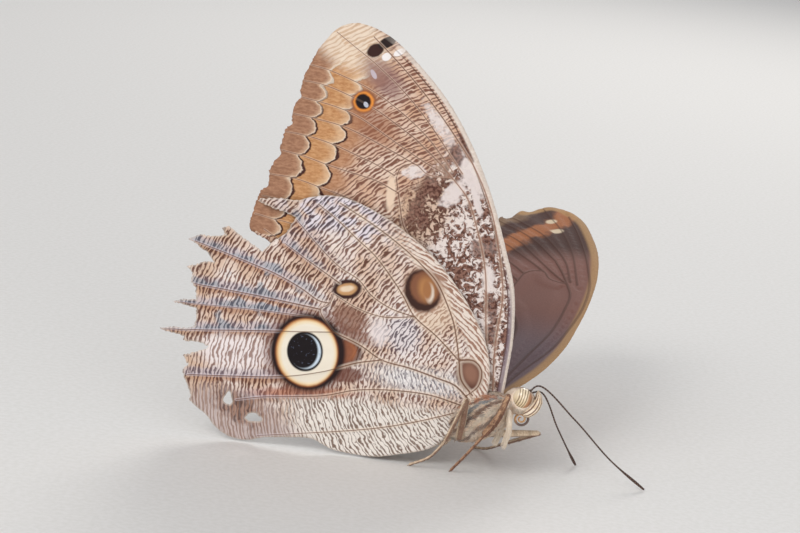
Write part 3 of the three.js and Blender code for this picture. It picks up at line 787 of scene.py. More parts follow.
# %% Front wing, underside: ripples and white disc
def front_ground(p):
    """Brown ripples on a cream that is warmer here and there."""
    streak = p.rise(p.streaks((14, -12), 0.78, 2.0, 1.0, 1.4), 0.36, 0.6)
    patch = p.rise(p.cloud(p.flat, 0.14, 2, 0.5), 0.35, 0.65)
    light = p.blend(patch, tone(226, 202, 184), tone(206, 166, 138))
    dark = p.blend(p.cloud(p.flat, 0.3, 2), tone(106, 66, 54), tone(146, 102, 84))
    p.colour = p.blend(streak, dark, light)


def front_disc(p, disc):
    """A brown network on white, with clean white patches and dark blotches."""
    speckle = p.cloud(p.flat, 0.8, 4, 0.66, 1.1)
    tract = p.cloud(p.flat, 0.17, 2, 0.5)
    net = p.rise(speckle + (tract - 0.5) * 0.5, 0.43, 0.52)
    blotch = p.blend(p.rise(p.cloud(p.flat, 1.6, 2), 0.4, 0.6), tone(82, 50, 42), tone(138, 100, 86))
    p.lay(disc * 0.97, p.blend(net, tone(230, 218, 212), blotch))
    cell_tone = p.blend(net, tone(204, 172, 146), tone(92, 58, 46))
    p.lay(p.spot((-19.0, 31.5), (5.0, 8.6), -0.45, 0.35, 0.6) * 0.8, cell_tone)
    for centre, radii, turn in (
        ((-13.3, 36.6), (3.2, 1.7), 0.9), ((-10.6, 41.0), (1.7, 5.4), 0.55),
        ((-8.4, 35.0), (0.7, 3.0), 0.4), ((-17.6, 49.6), (1.2, 5.4), 0.7),
        ((-4.4, 20.6), (1.2, 2.6), 0.1), ((-21.5, 39.8), (2.3, 1.2), 0.2),
    ):
        p.lay(p.spot(centre, radii, turn, 0.25, 1.3) * (0.6 + net * 0.35), tone(228, 216, 212))
    for centre, radii, turn in (
        ((-13.7, 44.1), (1.3, 2.2), 0.3), ((-11.9, 45.6), (0.9, 3.0), 0.6),
        ((-5.8, 26.5), (2.9, 2.2), 0.4), ((-2.9, 14.3), (1.2, 2.8), 0.2),
        ((-2.4, 9.6), (1.1, 2.0), 0.3), ((-20.2, 33.2), (1.3, 4.2), -0.35),
        ((-18.6, 30.2), (1.1, 1.6), 0.0), ((-26.1, 32.5), (1.0, 0.8), 0.3),
        ((-17.6, 37.2), (1.4, 2.6), 0.6),
    ):
        p.lay(p.spot(centre, radii, turn, 0.22, 1.1) * 0.85, blotch)
    p.lay(p.spot((-25.6, 35.2), (0.9, 3.6), 0.05, 0.3, 0.5), tone(232, 206, 182))


# %% Front wing, underside: cells of the margin
def front_cells(p):
    """Two rows of cells, each paler towards its inner dark arc, with a painted shadow near the small
    eyespot.
    """
    rim, bulge = p.number("rim"), p.number("bulge")
    ragged = p.wander(1.3, 0.9, 3, 0.6) + p.wander(2.4, 0.16, 1)
    arc = rim + ragged - bulge * 1.9
    grain = p.rise(p.cloud(p.stretched(p.flat, 1.0, 2.4), 0.9, 3, 0.6), 0.3, 0.7)
    wash = p.blend(grain, tone(146, 104, 80), tone(176, 132, 104))
    warm = p.blend(grain, tone(180, 126, 82), tone(206, 158, 112))
    inmost = p.blend(grain, tone(166, 116, 84), tone(196, 150, 116))
    cells = wash
    for low, high, share, over in (
        (2.2, 3.9, 0.7, tone(222, 190, 160)), (3.2, 3.9, 1.0, tone(240, 224, 204)),
        (3.9, 4.2, 1.0, warm), (6.8, 9.2, 0.6, tone(232, 204, 172)),
        (8.6, 9.3, 1.0, tone(243, 228, 208)), (9.3, 9.7, 1.0, inmost),
    ):
        cells = p.blend(p.rise(arc, low, high) * share, cells, over)
    in_rows = p.fall(arc, 11.2, 14.4) * p.rise(bulge, 0.0, 0.05)
    p.lay(in_rows, cells)
    lower = 1 - p.rise(p.z, 46, 58) * 0.75
    for place, width in ((3.95, 0.34), (9.4, 0.36)):
        line = p.fall(abs(arc - place), width * 0.4, width * 1.25)
        p.lay(line * lower * p.rise(bulge, 0.0, 0.05), tone(70, 38, 32))
    # Painted shadow: a soft brown patch cast over the cells beside the small eyespot.
    p.lay(p.spot((-30.6, 48.6), (3.6, 5.0), 0.6, 0.6, 0.4) * 0.6, tone(150, 96, 70))


# %% Front wing, underside: tip, leading edge and veins
def front_tip(p):
    """A pale tip with two black spots beside white ones, and one small eyespot."""
    tip = p.fall(p.reach(p.flat, (-37.0, 64.0), (9.5, 6.0), -0.5), 0.6, 1.2)
    fine = p.rise(p.streaks((14, -12), 0.8, 2.0, 7.0, 0.9), 0.3, 0.62)
    p.lay(tip * 0.9, p.blend(fine, tone(210, 180, 152), tone(234, 216, 196)))
    violet = p.spot((-29.6, 57.4), (2.6, 5.0), 0.9, 0.5, 0.5)
    p.lay(violet * 0.75, tone(140, 104, 100))
    for centre, radii, shade in (
        ((-29.6, 61.6), (0.95, 0.75), tone(240, 234, 232)),
        ((-27.2, 62.8), (1.3, 0.6), tone(242, 236, 234)),
        ((-31.7, 57.9), (0.45, 1.0), tone(196, 182, 190)),
        ((-31.9, 62.6), (1.75, 1.2), tone(58, 34, 30)),
        ((-29.8, 64.4), (1.9, 1.0), tone(40, 28, 28)),
        ((-33.0, 52.3), (2.5, 2.3), tone(142, 92, 66)),
        ((-33.0, 52.3), (2.0, 1.95), tone(226, 142, 62)),
        ((-33.1, 52.3), (1.5, 1.55), tone(26, 18, 22)),
        ((-32.5, 51.8), (0.42, 0.6), tone(190, 196, 210)),
    ):
        p.lay(p.spot(centre, radii, 0.6, 0.14, 0.2), shade)


def front_edge(p):
    """A pale speckled stripe with a thin dark line on its inner side."""
    lead = p.number("lead")
    edge_tone = p.blend(p.cloud(p.flat, 2.2, 2), tone(196, 176, 158), tone(240, 230, 222))
    along_edge = p.fall(0 - p.x, 22, 32)
    p.lay(p.fall(lead, 0.7, 1.1) * along_edge, edge_tone)
    lilac = p.rise(lead, 0.4, 0.7) * p.fall(lead, 1.3, 1.6) * p.fall(p.z, 8, 26)
    p.lay(lilac * 0.8, tone(128, 112, 122))
    line = p.fall(abs(lead - 1.35), 0.08, 0.2)
    p.lay(line * along_edge * 0.8, tone(86, 56, 48))


def front_veins(p, disc):
    """A pale seam beside each vein, and the brown vein."""
    vein = p.number("vein")
    off_spot = 1 - p.spot((-33.0, 52.3), (2.1, 2.1)) * 0.8
    beside = p.fall(vein, 0.2, 0.55) * off_spot * 0.35
    p.lay(beside, tone(232, 208, 188))
    on_vein = p.fall(vein, 0.07, 0.2)
    p.lay(on_vein * off_spot * 0.85, p.blend(disc, tone(108, 68, 50), tone(150, 110, 92)))


def front_underside():
    p = WingPaint("front wing underside")
    disc = p.fall(p.reach(p.flat, (-6.5, 21), (12.5, 27), 0.22), 0.85, 1.1)
    front_ground(p)
    front_disc(p, disc)
    front_cells(p)
    front_tip(p)
    front_edge(p)
    front_veins(p, disc)
    return p.finish()


# %% Hind wing, underside: ground
GREAT_EYESPOT = (-38.2, 1.1)


def hind_ground(p, streak):
    """Ripples on a ground that is whiter here and there."""
    tide = p.rise(p.cloud(p.flat, 0.13, 2, 0.55), 0.38, 0.62)
    light = p.blend(tide, tone(216, 186, 164), tone(234, 220, 212))
    dark = p.blend(tide, tone(100, 64, 52), tone(132, 98, 86))
    p.colour = p.blend(streak, dark, light)


def hind_lanes(p, streak, outward):
    """Brown below each vein and lilac grey above it, with blue scales outward."""
    above, below = p.number("above"), p.number("below")
    sway = p.wander(0.7, 0.6)
    brown = p.blend(streak, tone(104, 66, 54), tone(190, 148, 122))
    p.lay(p.rise(below + sway, 0.3, 0.75) * outward * 0.9, brown)
    lilac = p.blend(streak, tone(112, 98, 106), tone(206, 192, 194))
    p.lay(p.rise(above + sway, 0.1, 0.6) * outward * 0.9, lilac)
    blue = p.rise(p.cloud(p.flat, 0.26, 2, 0.5) + above * 0.25, 0.6, 0.74) * outward
    blue_tone = p.blend(streak, tone(84, 92, 104), tone(164, 168, 176))
    p.lay(blue * p.rise(p.z, -4, 2) * 0.75, blue_tone)
    white = p.spot((-52.5, -0.8), (8.5, 3.4), 0.05, 0.4, 0.9)
    white_tone = p.blend(streak, tone(168, 142, 134), tone(240, 230, 230))
    p.lay(white * 0.85, white_tone)


# %% Hind wing, underside: back part, wedge and leading band
def hind_back(p, streak):
    """Fine wavy lines on cream, a grey brown hem and a worn brown end."""
    above, rim = p.number("above"), p.number("rim")
    back = p.rise(0 - p.z, 5.5, 9.0) * p.fall(0 - p.x, 34, 48)
    fine = p.rise(p.streaks((6, 6), 0.74, 3.0, 9.0, 1.8), 0.32, 0.53)
    fine_tone = p.blend(fine, tone(128, 108, 96), tone(238, 230, 222))
    p.lay(back * 0.95, fine_tone)
    base_white = p.spot((-14.5, -1.8), (10.5, 2.6), -0.06, 0.5, 0.5)
    p.lay(base_white * 0.7, p.blend(fine, tone(120, 122, 132), tone(240, 238, 238)))
    fan = p.streaks((-4, -5), 0.7, 9.0, 5.0, 0.8)
    end = p.fall(rim, 0.5, 5.0)
    edge_tone = p.blend(streak, tone(96, 62, 50), tone(200, 168, 142))
    p.lay(end * (1 - above) * 0.5, edge_tone)
    hem = p.fall(p.reach(p.flat, (-51, -14.5), (13, 6.4), -0.25), 0.6, 1.1) * 0.9
    hem_tone = p.blend(p.rise(fan, 0.4, 0.6), tone(158, 132, 122), tone(198, 182, 178))
    p.lay(hem, hem_tone)
    # A dark brown patch laid round the two holes.
    dark_patch = p.spot((-51.0, -12.2), (5.2, 2.6), -0.5, 0.5, 1.4)
    p.lay(dark_patch * 0.75, p.blend(streak, tone(74, 46, 38), tone(150, 110, 88)))


def hind_wedge(p, streak):
    """Brown wedge and orange patch by the great eyespot, pale clouds beyond."""
    cloud_tone = p.blend(streak, tone(112, 104, 112), tone(226, 220, 224))
    p.lay(p.spot((-19.8, 7.4), (3.6, 4.2), 0.4, 0.5, 0.7) * 0.8, cloud_tone)
    p.lay(p.spot((-24.6, 6.9), (1.8, 2.6), 0.3, 0.5, 1.2) * 0.7, tone(232, 222, 222))
    wedge_tone = p.blend(p.cloud(p.flat, 1.2, 3), tone(92, 54, 42), tone(160, 116, 98))
    p.lay(p.spot((-30.8, 9.0), (3.8, 2.8), -0.35, 0.3, 1.1) * 0.8, wedge_tone)
    p.lay(p.spot((-29.0, 5.8), (3.4, 1.5), -0.3, 0.5, 0.5) * 0.7, wedge_tone)
    for centre, radii, shade in (
        ((-30.0, 2.2), (2.6, 2.9), tone(78, 46, 38)), ((-30.9, 2.2), (2.4, 2.3), tone(176, 106, 66)),
        ((-30.2, -2.6), (3.6, 1.5), tone(112, 72, 62)),
    ):
        p.lay(p.spot(centre, radii, 0.1, 0.25, 0.4) * 0.85, shade)
    russet = p.spot((-38.5, -7.4), (9.5, 1.2), 0.12, 0.5, 0.4)
    p.lay(russet * 0.8, p.blend(streak, tone(142, 82, 58), tone(188, 122, 88)))


def hind_band(p, streak):
    """Cream with slanted brown ripples, then bluish white with dark marks."""
    lead = p.number("lead")
    lead_band = p.fall(lead, 3.0, 4.6) * p.fall(0 - p.x, 17, 27)
    slant = p.rise(p.streaks((-40, -30), 0.8, 2.4, 5.0, 1.0), 0.34, 0.56)
    p.lay(lead_band * 0.95, p.blend(slant, tone(158, 118, 98), tone(234, 220, 208)))
    patchy = p.rise(p.cloud(p.flat, 0.24, 2, 0.5), 0.42, 0.56)
    far = p.rise(0 - p.x, 22, 30) * p.fall(0 - p.x, 44, 50) * p.fall(lead, 5.5, 8.5)
    far_tone = p.blend(streak, tone(88, 76, 84), tone(224, 216, 224))
    p.lay(far * patchy * 0.9, far_tone)


# %% Hind wing, underside: eyespots, spots and veins
def great_eyespot(p):
    """The great eyespot, from its outer ring to its pupil."""
    p.lay(p.spot(GREAT_EYESPOT, (8.9, 9.0), 0, 0.14, 0.25) * 0.6, tone(112, 70, 58))
    for centre, radii, soft, shade in (
        (GREAT_EYESPOT, (7.5, 7.9), 0.07, tone(38, 22, 22)),
        ((-38.4, 1.0), (6.3, 7.1), 0.05, tone(146, 84, 50)),
        ((-38.4, 1.0), (6.1, 6.9), 0.04, tone(214, 160, 104)),
        ((-38.3, 0.95), (5.85, 6.65), 0.05, tone(240, 218, 178)),
        ((-38.2, 0.9), (5.4, 6.2), 0.07, tone(240, 230, 212)),
        ((-38.8, 1.2), (3.6, 4.1), 0.05, tone(22, 15, 18)),
        ((-38.7, 1.2), (3.1, 3.55), 0.06, tone(206, 220, 232)),
        ((-39.2, 1.3), (3.0, 3.6), 0.08, tone(24, 17, 20)),
    ):
        p.lay(p.spot(centre, radii, 0.12, soft), shade)
    glints = p.rise(p.cloud(p.flat, 1.5, 2, 0.6), 0.62, 0.7) * p.spot((-38.9, 1.2), (3.3, 3.9))
    p.lay(glints * 0.35, tone(120, 132, 160))


def hind_spots(p, streak):
    """The tear shaped spot, the small oval one and the one in the shoulder cell."""
    p.lay(p.spot((-14.9, 13.6), (3.7, 5.6), 0.35, 0.3, 0.4) * 0.8,
          p.blend(streak, tone(190, 156, 132), tone(226, 204, 182)))
    for centre, radii, turn, soft, shade in (
        ((-16.9, 16.6), (4.1, 4.5), 0.2, 0.2, tone(168, 132, 112)),
        ((-17.0, 16.6), (3.6, 4.3), 0.25, 0.1, tone(62, 38, 32)),
        ((-16.5, 17.3), (3.0, 3.3), 0.3, 0.14, tone(132, 86, 62)),
        ((-16.2, 17.0), (1.5, 2.2), 0.3, 0.6, tone(186, 132, 82)),
        ((-15.6, 16.3), (0.9, 1.9), 0.15, 0.3, tone(226, 212, 196)),
        ((-16.1, 16.8), (0.9, 2.0), 0.15, 0.35, tone(164, 112, 72)),
        ((-31.9, 15.0), (2.9, 2.0), 0.2, 0.14, tone(60, 36, 32)),
        ((-31.9, 15.0), (2.0, 1.2), 0.25, 0.16, tone(196, 150, 104)),
        ((-31.9, 15.1), (1.4, 0.6), 0.25, 0.35, tone(230, 208, 180)),
        ((-5.7, 0.7), (2.7, 3.3), 0.3, 0.2, tone(96, 62, 52)),
        ((-5.4, 1.0), (1.5, 2.2), 0.5, 0.6, tone(146, 106, 88)),
    ):
        p.lay(p.spot(centre, radii, turn, soft, 0.16), shade)


def hind_veins(p, outward):
    """A pale seam beside each vein, the vein, and worn edges."""
    vein = p.number("vein")
    in_eye = p.spot(GREAT_EYESPOT, (7, 7.8))
    pale_band = p.fall(vein, 0.3, 0.75) * (1 - in_eye)
    p.lay(pale_band * 0.45, p.blend(outward, tone(236, 216, 196), tone(214, 202, 208)))
    on_vein = p.fall(vein, 0.07, 0.2)
    p.lay(on_vein * (0.9 - in_eye * 0.15), tone(112, 74, 52))
    worn_edge = p.fall(p.number("edge"), 0.08, 0.4)
    p.lay(worn_edge * 0.5, tone(222, 208, 194))


def hind_underside():
    p = WingPaint("hind wing underside")
    streak = p.rise(p.streaks((10, -8), 0.82, 2.0, 3.0, 1.5), 0.33, 0.6)
    outward = p.rise(0 - p.x, 30, 48)
    hind_ground(p, streak)
    hind_lanes(p, streak, outward)
    hind_back(p, streak)
    hind_wedge(p, streak)
    hind_band(p, streak)
    great_eyespot(p)
    hind_spots(p, streak)
    hind_veins(p, outward)
    return p.finish()


# %% Upper sides
def front_upperside():
    p = WingPaint("front wing upperside")
    fine = p.cloud(p.stretched(p.flat, 2.2, 2.2), 1.2, 3, 0.6)
    disc = p.blend(fine, tone(122, 84, 76), tone(150, 108, 96))
    base = p.blend(fine, tone(96, 80, 86), tone(140, 118, 120))
    p.colour = p.blend(p.fall(p.reach(p.flat, (-6, 4), (30, 24), 0.6), 0.4, 1.1), disc, base)
    outer = p.rise(p.reach(p.flat, (-2, 14), (50, 50)), 0.74, 0.92)
    p.lay(outer * 0.85, p.blend(fine, tone(44, 31, 29), tone(84, 62, 56)))
    rim = p.number("rim")
    sway = rim + p.wander(5, 0.3)
    band = p.rise(sway, 6.5, 8.5) * p.fall(sway, 11.5, 14.0) * p.rise(p.z, 12, 30)
    p.lay(band * 0.8, p.blend(fine, tone(160, 96, 62), tone(206, 136, 88)))
    edge = p.fall(sway, 1.6, 4.2)
    p.lay(edge * 0.75, p.blend(fine, tone(134, 108, 86), tone(170, 142, 114)))
    costa = p.fall(p.number("lead") + (fine - 0.5) * 0.8, 1.2, 2.2)
    p.lay(costa * 0.85, p.blend(fine, tone(160, 118, 78), tone(206, 168, 120)))
    for centre, radii in (((-30.5, 58.0), (1.5, 1.0)), ((-34.5, 61.2), (1.3, 0.9))):
        p.lay(p.spot(centre, radii, 0.3, 0.3, 0.3), tone(226, 206, 176))
    on_vein = p.fall(p.number("vein"), 0.18, 0.5)
    p.lay(on_vein * 0.55, tone(84, 58, 48))
    return p.finish()


def hind_upperside():
    p = WingPaint("hind wing upperside")
    fine = p.cloud(p.stretched(p.flat, 2.2, 2.2), 1.2, 3, 0.6)
    rim = p.number("rim")
    p.colour = p.blend(fine, tone(34, 28, 34), tone(64, 54, 62))
    root = p.fall(p.reach(p.flat, (-8, 0), (26, 20), 0.1), 0.4, 1.1)
    p.lay(root * 0.9, p.blend(fine, tone(78, 74, 104), tone(112, 108, 138)))
    sway = rim + p.wander(4, 0.25)
    edge = p.fall(sway, 3.0, 8.0)
    p.lay(edge * 0.9, p.blend(fine, tone(96, 66, 50), tone(148, 108, 80)))
    back = p.rise(0 - p.z, 7.0, 13.0)
    p.lay(back * 0.7, p.blend(fine, tone(122, 96, 78), tone(168, 142, 118)))
    on_vein = p.fall(p.number("vein"), 0.18, 0.5)
    p.lay(on_vein * 0.5, tone(50, 36, 34))
    return p.finish()


FRONT_UNDER, HIND_UNDER = front_underside(), hind_underside()
FRONT_UPPER, HIND_UPPER = front_upperside(), hind_upperside()
print("nodes in the front wing's pattern:", len(FRONT_UNDER.tree.nodes))

# %% [markdown]
# ## The four wings in their places
# The right pair is upright and closed, so its undersides face out. The left pair has
# dropped half open behind it and shows its upper sides. The margin of the right hind
# wing is worn into strips with two holes, as happens to a butterfly after some weeks.

# %% Make the wings
chance = np.random.default_rng(11)
fore_outline = closed_outline(
    [(FORE_COSTA, True, 0.02), (FORE_MARGIN, False, 0.07), (FORE_INNER, True, 0.03),
     (FORE_ROOT, False, 0)], chance)
torn_outline = closed_outline(
    [(HIND_COSTA, True, 0.02), (HIND_TORN, False, 0.09), (HIND_HEM, True, 0.03),
     (HIND_ROOT, False, 0)], chance)
whole_outline = closed_outline(
    [(HIND_COSTA[:-1], True, 0.02), (WHOLE_MARGIN, True, 0.05), (WHOLE_HEM, True, 0.03),
     (HIND_ROOT, False, 0)], chance)
torn_holes = [worn_hole(centre, wide, high, chance) for centre, wide, high in HOLES]
FORE_RIM = Path([(-43, 61.5), (-45.4, 55.7), (-46.6, 48), (-48.6, 40), (-51, 32), (-52.6, 24.2)])
HIND_RIM = Path([(-43.1, 31.6), (-52, 28), (-60, 20), (-63, 8), (-62.6, -4), (-60.8, -12.3)])
WHOLE_RIM = Path(WHOLE_MARGIN)
FORE_FRONT, HIND_FRONT = Path(FORE_COSTA), Path(HIND_COSTA)

WINGS = (
    ("wing_fore_right", "forewing_right", wing_plane((0, 0, 0), (1, 0, 0), (0, 0, 1)),
     fore_outline, [], FORE_VEINS, FORE_RIM, (FRONT_UNDER, FRONT_UPPER)),
    ("wing_hind_right", "hindwing_right", wing_plane((0, -1.15, 0), (1, 0, 0), (0, 0, 1)),
     torn_outline, torn_holes, HIND_VEINS, HIND_RIM, (HIND_UNDER, HIND_UPPER)),
    ("wing_fore_left", "forewing_left",
     wing_plane((2.3, 4.1, -2.8), (0.793, -0.607, -0.045), (0.58, 0.731, 0.36)),
     fore_outline, [], FORE_VEINS, FORE_RIM, (FRONT_UPPER, FRONT_UNDER)),
    ("wing_hind_left", "hindwing_left",
     wing_plane((0.6, 4.6, -6.8), (0.666, -0.739, 0.07), (0.603, 0.593, 0.532)),
     whole_outline, [], HIND_VEINS, WHOLE_RIM, (HIND_UPPER, HIND_UNDER)),
)
for seed, (name, node, plane, outline, holes, veins, rim, faces) in enumerate(WINGS):
    front = FORE_FRONT if "fore" in name else HIND_FRONT
    edges_of = (rim.every(0.8), front.every(0.8))
    wing = make_wing(name, node, plane, outline, holes, veins, edges_of, faces, seed)
    if "fore" in name:
        add_row_field(wing, FORE_LANES)

# %% [markdown]
# ## The body under its fur
# Thorax, head and abdomen are one soft skin on the real animal, with no seam where one
# passes into the next. Three turned profiles are bent along the body line, joined by a
# voxel remesh, which welds whatever overlaps, and smoothed. Every point of the skin then
# learns how far it is from the tail and how far round the body it lies, and all the
# markings of the skin and of its fur are drawn from those two numbers.

# %% Turned profiles along a path
BACK = np.array([-0.45, 0.45, 0.77])


def across_path(path, share, up):
    """Heading, side and upward axes of a path at each share of it."""
    ahead = path.heading(share)
    aside = np.cross(ahead, up)
    aside /= np.linalg.norm(aside, axis=-1, keepdims=True)
    return ahead, aside, np.cross(aside, ahead)


def turned(path, profile, sides=32, up=BACK, wide=1.0, steps=None):
    """Vertices, faces and (mm along, angle, share) of a profile turned round a path."""
    stops = np.array(profile, float)
    if steps:
        fine = np.unique(np.concatenate([np.linspace(0, 1, steps), stops[:, 0]]))
        stops = np.stack([fine, np.interp(fine, stops[:, 0], stops[:, 1])], 1)
    share, radius = stops[:, 0], np.maximum(stops[:, 1], 0.004)
    centre = path.at(share)
    _, aside, above = across_path(path, share, np.asarray(up, float))
    angle = np.linspace(0, 2 * math.pi, sides, endpoint=False)
    ring = aside[:, None] * (np.sin(angle) * wide)[None, :, None]
    ring = ring + above[:, None] * np.cos(angle)[None, :, None]
    vertices = (centre[:, None] + ring * radius[:, None, None]).reshape(-1, 3)
    values = np.stack(np.broadcast_arrays(share[:, None] * path.length, angle[None],
                                          share[:, None]), -1).reshape(-1, 3)
    faces = []
    for i in range(len(share) - 1):
        for k in range(sides):
            a, b = i * sides + k, i * sides + (k + 1) % sides
            faces.append((a, b, b + sides, a + sides))
    faces.append(tuple(range(sides))[::-1])
    last = (len(share) - 1) * sides
    faces.append(tuple(range(last, last + sides)))
    return vertices, faces, values


class Parts:
    """Closed shapes collected into one piece."""

    def __init__(self):
        self.vertices, self.faces, self.values = [], [], []
        self.count = 0

    def add(self, shape):
        vertices, faces, values = shape
        self.vertices.append(vertices)
        self.values.append(values)
        self.faces += [tuple(i + self.count for i in face) for face in faces]
        self.count += len(vertices)
        return self

    def piece(self, name, slot, paint, nodes, value="tube"):
        vertices = to_metres(np.concatenate(self.vertices))
        made = new_piece(name, vertices, self.faces, [paint.material], nodes)
        set_values(made.data, value, np.concatenate(self.values))
        print(name, "faces:", len(self.faces))


# %% The skin
TAIL, WAIST, NECK, FACE = (-24.2, 2.5, -18.3), (-8.8, 2.3, -11.7), (3.4, -0.9, -4.6), (8, -1.6, -3.6)
SPINE = Path([TAIL, (-17, 3.0, -15.6), WAIST, (-2.6, 0.4, -7.9), NECK, (5.2, -1.1, -3.4), FACE])
thorax_path = Path([WAIST, (-2.6, 0.4, -7.9), NECK])
thorax_profile = [
    (0, 0), (0.01, 1.84), (0.08, 2.85), (0.2, 3.86), (0.36, 4.5), (0.52, 4.55), (0.68, 4.3),
    (0.82, 3.68), (0.93, 2.76), (0.99, 1.75), (1, 0),
]
abdomen_path = Path([TAIL, (-17, 3.0, -15.6), (-7.8, 2.9, -11.4)])
abdomen_profile = [(0, 0), (0.01, 0.5)]
for ring in range(6):
    t = 0.06 + 0.86 * ring / 6
    swell = 3.0 * (0.42 + 0.58 * math.sin(min(1, t * 1.5) * math.pi / 2))
    abdomen_profile += [(t, swell * 0.93), (t + 0.06, swell * 1.0), (t + 0.12, swell * 0.98)]
abdomen_profile += [(0.99, 2.1), (1, 0)]
head_path = Path([(2.2, -0.6, -4.4), (5.2, -1.1, -3.4), FACE])
head_profile = [
    (0, 0), (0.02, 1.3), (0.15, 2.05), (0.35, 2.55), (0.55, 2.6), (0.75, 2.25), (0.9, 1.45), (1, 0),
]
skin_parts = Parts()
skin_parts.add(turned(thorax_path, thorax_profile, 40, wide=0.9, steps=40))
skin_parts.add(turned(abdomen_path, abdomen_profile, 32, wide=0.95, steps=60))
skin_parts.add(turned(head_path, head_profile, 32, wide=0.88, steps=24))
shape = new_object("body_raw", np.concatenate(skin_parts.vertices), skin_parts.faces)
weld = shape.modifiers.new("weld", "REMESH")
weld.mode = "VOXEL"
weld.voxel_size = 0.24
even = shape.modifiers.new("even", "SMOOTH")
even.factor, even.iterations = 0.5, 9
bpy.context.view_layer.update()
welded = bpy.data.meshes.new_from_object(shape.evaluated_get(bpy.context.evaluated_depsgraph_get()))
bpy.data.objects.remove(shape)
skin_points = np.array([tuple(v.co) for v in welded.vertices])
skin_faces = [tuple(p.vertices) for p in welded.polygons]
skin_points[:, 2] = np.maximum(skin_points[:, 2], FLOOR + 0.02)
print("skin points:", len(skin_points))


# %% Where a point lies on the body
def on_body(points):
    """(mm from the tail, angle from the back, 0) of points near the body line."""
    share = np.linspace(0, 1, 260)
    line = SPINE.at(share)
    _, aside, above = across_path(SPINE, share, BACK)
    result = np.zeros((len(points), 3))
    for first in range(0, len(points), BLOCK):
        block = points[first : first + BLOCK]
        near = ((block[:, None] - line[None]) ** 2).sum(2).argmin(1)
        offset = block - line[near]
        result[first : first + BLOCK, 0] = share[near] * SPINE.length
        result[first : first + BLOCK, 1] = np.arctan2(
            (offset * aside[near]).sum(1), (offset * above[near]).sum(1))
    return result


def body_unwrap(body):
    """The skin unrolled: tail to face across, right round the body upward."""
    return np.stack([0.05 + 0.9 * body[:, 0] / SPINE.length, 0.5 + body[:, 1] / 6.6], 1)


WAIST_AT = on_body(np.array([WAIST]))[0, 0]
NECK_AT = on_body(np.array([NECK]))[0, 0]
print("waist", round(WAIST_AT, 1), "neck", round(NECK_AT, 1), "face", round(SPINE.length, 1))

# %% [markdown]
# ## Fur
# The body wears long narrow scales that look like fur. A hair system would not travel to
# other programs, so each tuft here is a small closed spike of its own, laid backward
# along the body. They are short on the head, longer on the thorax and longest at the
# golden tail, and they take the colour of the skin at their root, so both carry one
# pattern.


# %% Colours of the skin and its fur
def body_paint(name, tuft_light_and_shade):
    p = Paint(name, Roughness=0.8, Sheen_Weight=0.2, Sheen_Roughness=0.5, Specular_IOR_Level=0.2)
    body = p.attribute("body").output("Vector")
    along, angle, _ = p.split(body)
    slant = abs(angle) + (along - 26) * 0.085
    blot = p.cloud(p.stretched(body, 0.5, 2.6), 1.0, 3, 0.6)
    fine = p.cloud(p.stretched(body, 1.2, 7.0), 1.3, 3, 0.6)
    p.colour = p.blend(p.rise(blot, 0.3, 0.7), tone(246, 218, 190), tone(254, 240, 224))
    p.lay(p.fall(fine, 0.3, 0.5) * 0.28, tone(170, 122, 96))
    chest = p.rise(along, WAIST_AT - 2, WAIST_AT + 1) * p.fall(along, NECK_AT - 2, NECK_AT + 1)
    wander = slant + (p.cloud(p.stretched(body, 0.35, 1.2), 1.0, 2) - 0.5) * 0.5
    for centre, width, strength, shade in (
        (1.02, 0.1, 0.85, tone(112, 72, 54)), (1.3, 0.11, 0.8, tone(120, 132, 142)),
        (1.62, 0.12, 0.85, tone(124, 82, 62)), (1.95, 0.1, 0.6, tone(236, 224, 204)),
        (2.25, 0.12, 0.7, tone(118, 80, 66)), (0.62, 0.12, 0.7, tone(150, 120, 96)),
    ):
        line = p.fall(abs(wander - centre), width * 0.5, width * 1.3)
        p.lay(line * chest * strength, shade)
    breaks = p.rise(p.cloud(p.stretched(body, 0.9, 3.5), 0.7, 2, 0.5), 0.6, 0.68) * chest
    p.lay(breaks * 0.5, tone(98, 112, 124))
    rust = p.rise(p.cloud(p.stretched(body, 0.5, 2.0), 0.9, 2, 0.5), 0.52, 0.62) * chest
    p.lay(rust * p.fall(abs(angle), 1.0, 1.7) * 0.75, tone(206, 128, 84))
    back = p.fall(abs(angle), 0.35, 0.8) * p.fall(along, NECK_AT, NECK_AT + 1.5)
    p.lay(back * 0.5, p.blend(fine, tone(84, 62, 54), tone(150, 122, 100)))
    belly_end = p.fall(along, 6, WAIST_AT)
    p.lay(belly_end * 0.6, p.blend(fine, tone(150, 112, 76), tone(206, 160, 112)))
    tail = p.fall(along, 1.5, 4.5)
    p.lay(tail * 0.85, tone(226, 176, 108))
    crown = p.rise(along, NECK_AT + 1, NECK_AT + 2.5) * p.fall(abs(angle), 0.25, 0.5)
    p.lay(crown * 0.8, tone(126, 82, 60))
    cheek = p.rise(along, NECK_AT + 0.5, NECK_AT + 2) * p.rise(abs(angle), 0.7, 1.2)
    p.lay(cheek * 0.7, tone(244, 230, 212))
    # Painted shade at the root of each tuft, where the tufts crowd the skin, and painted light on its
    # tip.
    if tuft_light_and_shade:
        tip = p.attribute("hair").output("Fac")
        p.lay(p.fall(tip, 0.0, 0.45) * 0.22, tone(120, 86, 66))
        p.lay(p.rise(tip, 0.5, 1.0) * 0.25, tone(254, 244, 230))
    p.dress(0.7 + fine * 0.25)
    if not tuft_light_and_shade:
        p.relief(fine, 0.18, 0.7)
    return p


SKIN_PAINT = body_paint("short body hair", False)
COAT_PAINT = body_paint("body tufts", True)
skin_body = on_body(skin_points)
skin = new_piece("body_skin", to_metres(skin_points), skin_faces,
                 [SKIN_PAINT.material], ["thorax", "head", "abdomen"])
set_values(skin.data, "body", skin_body)

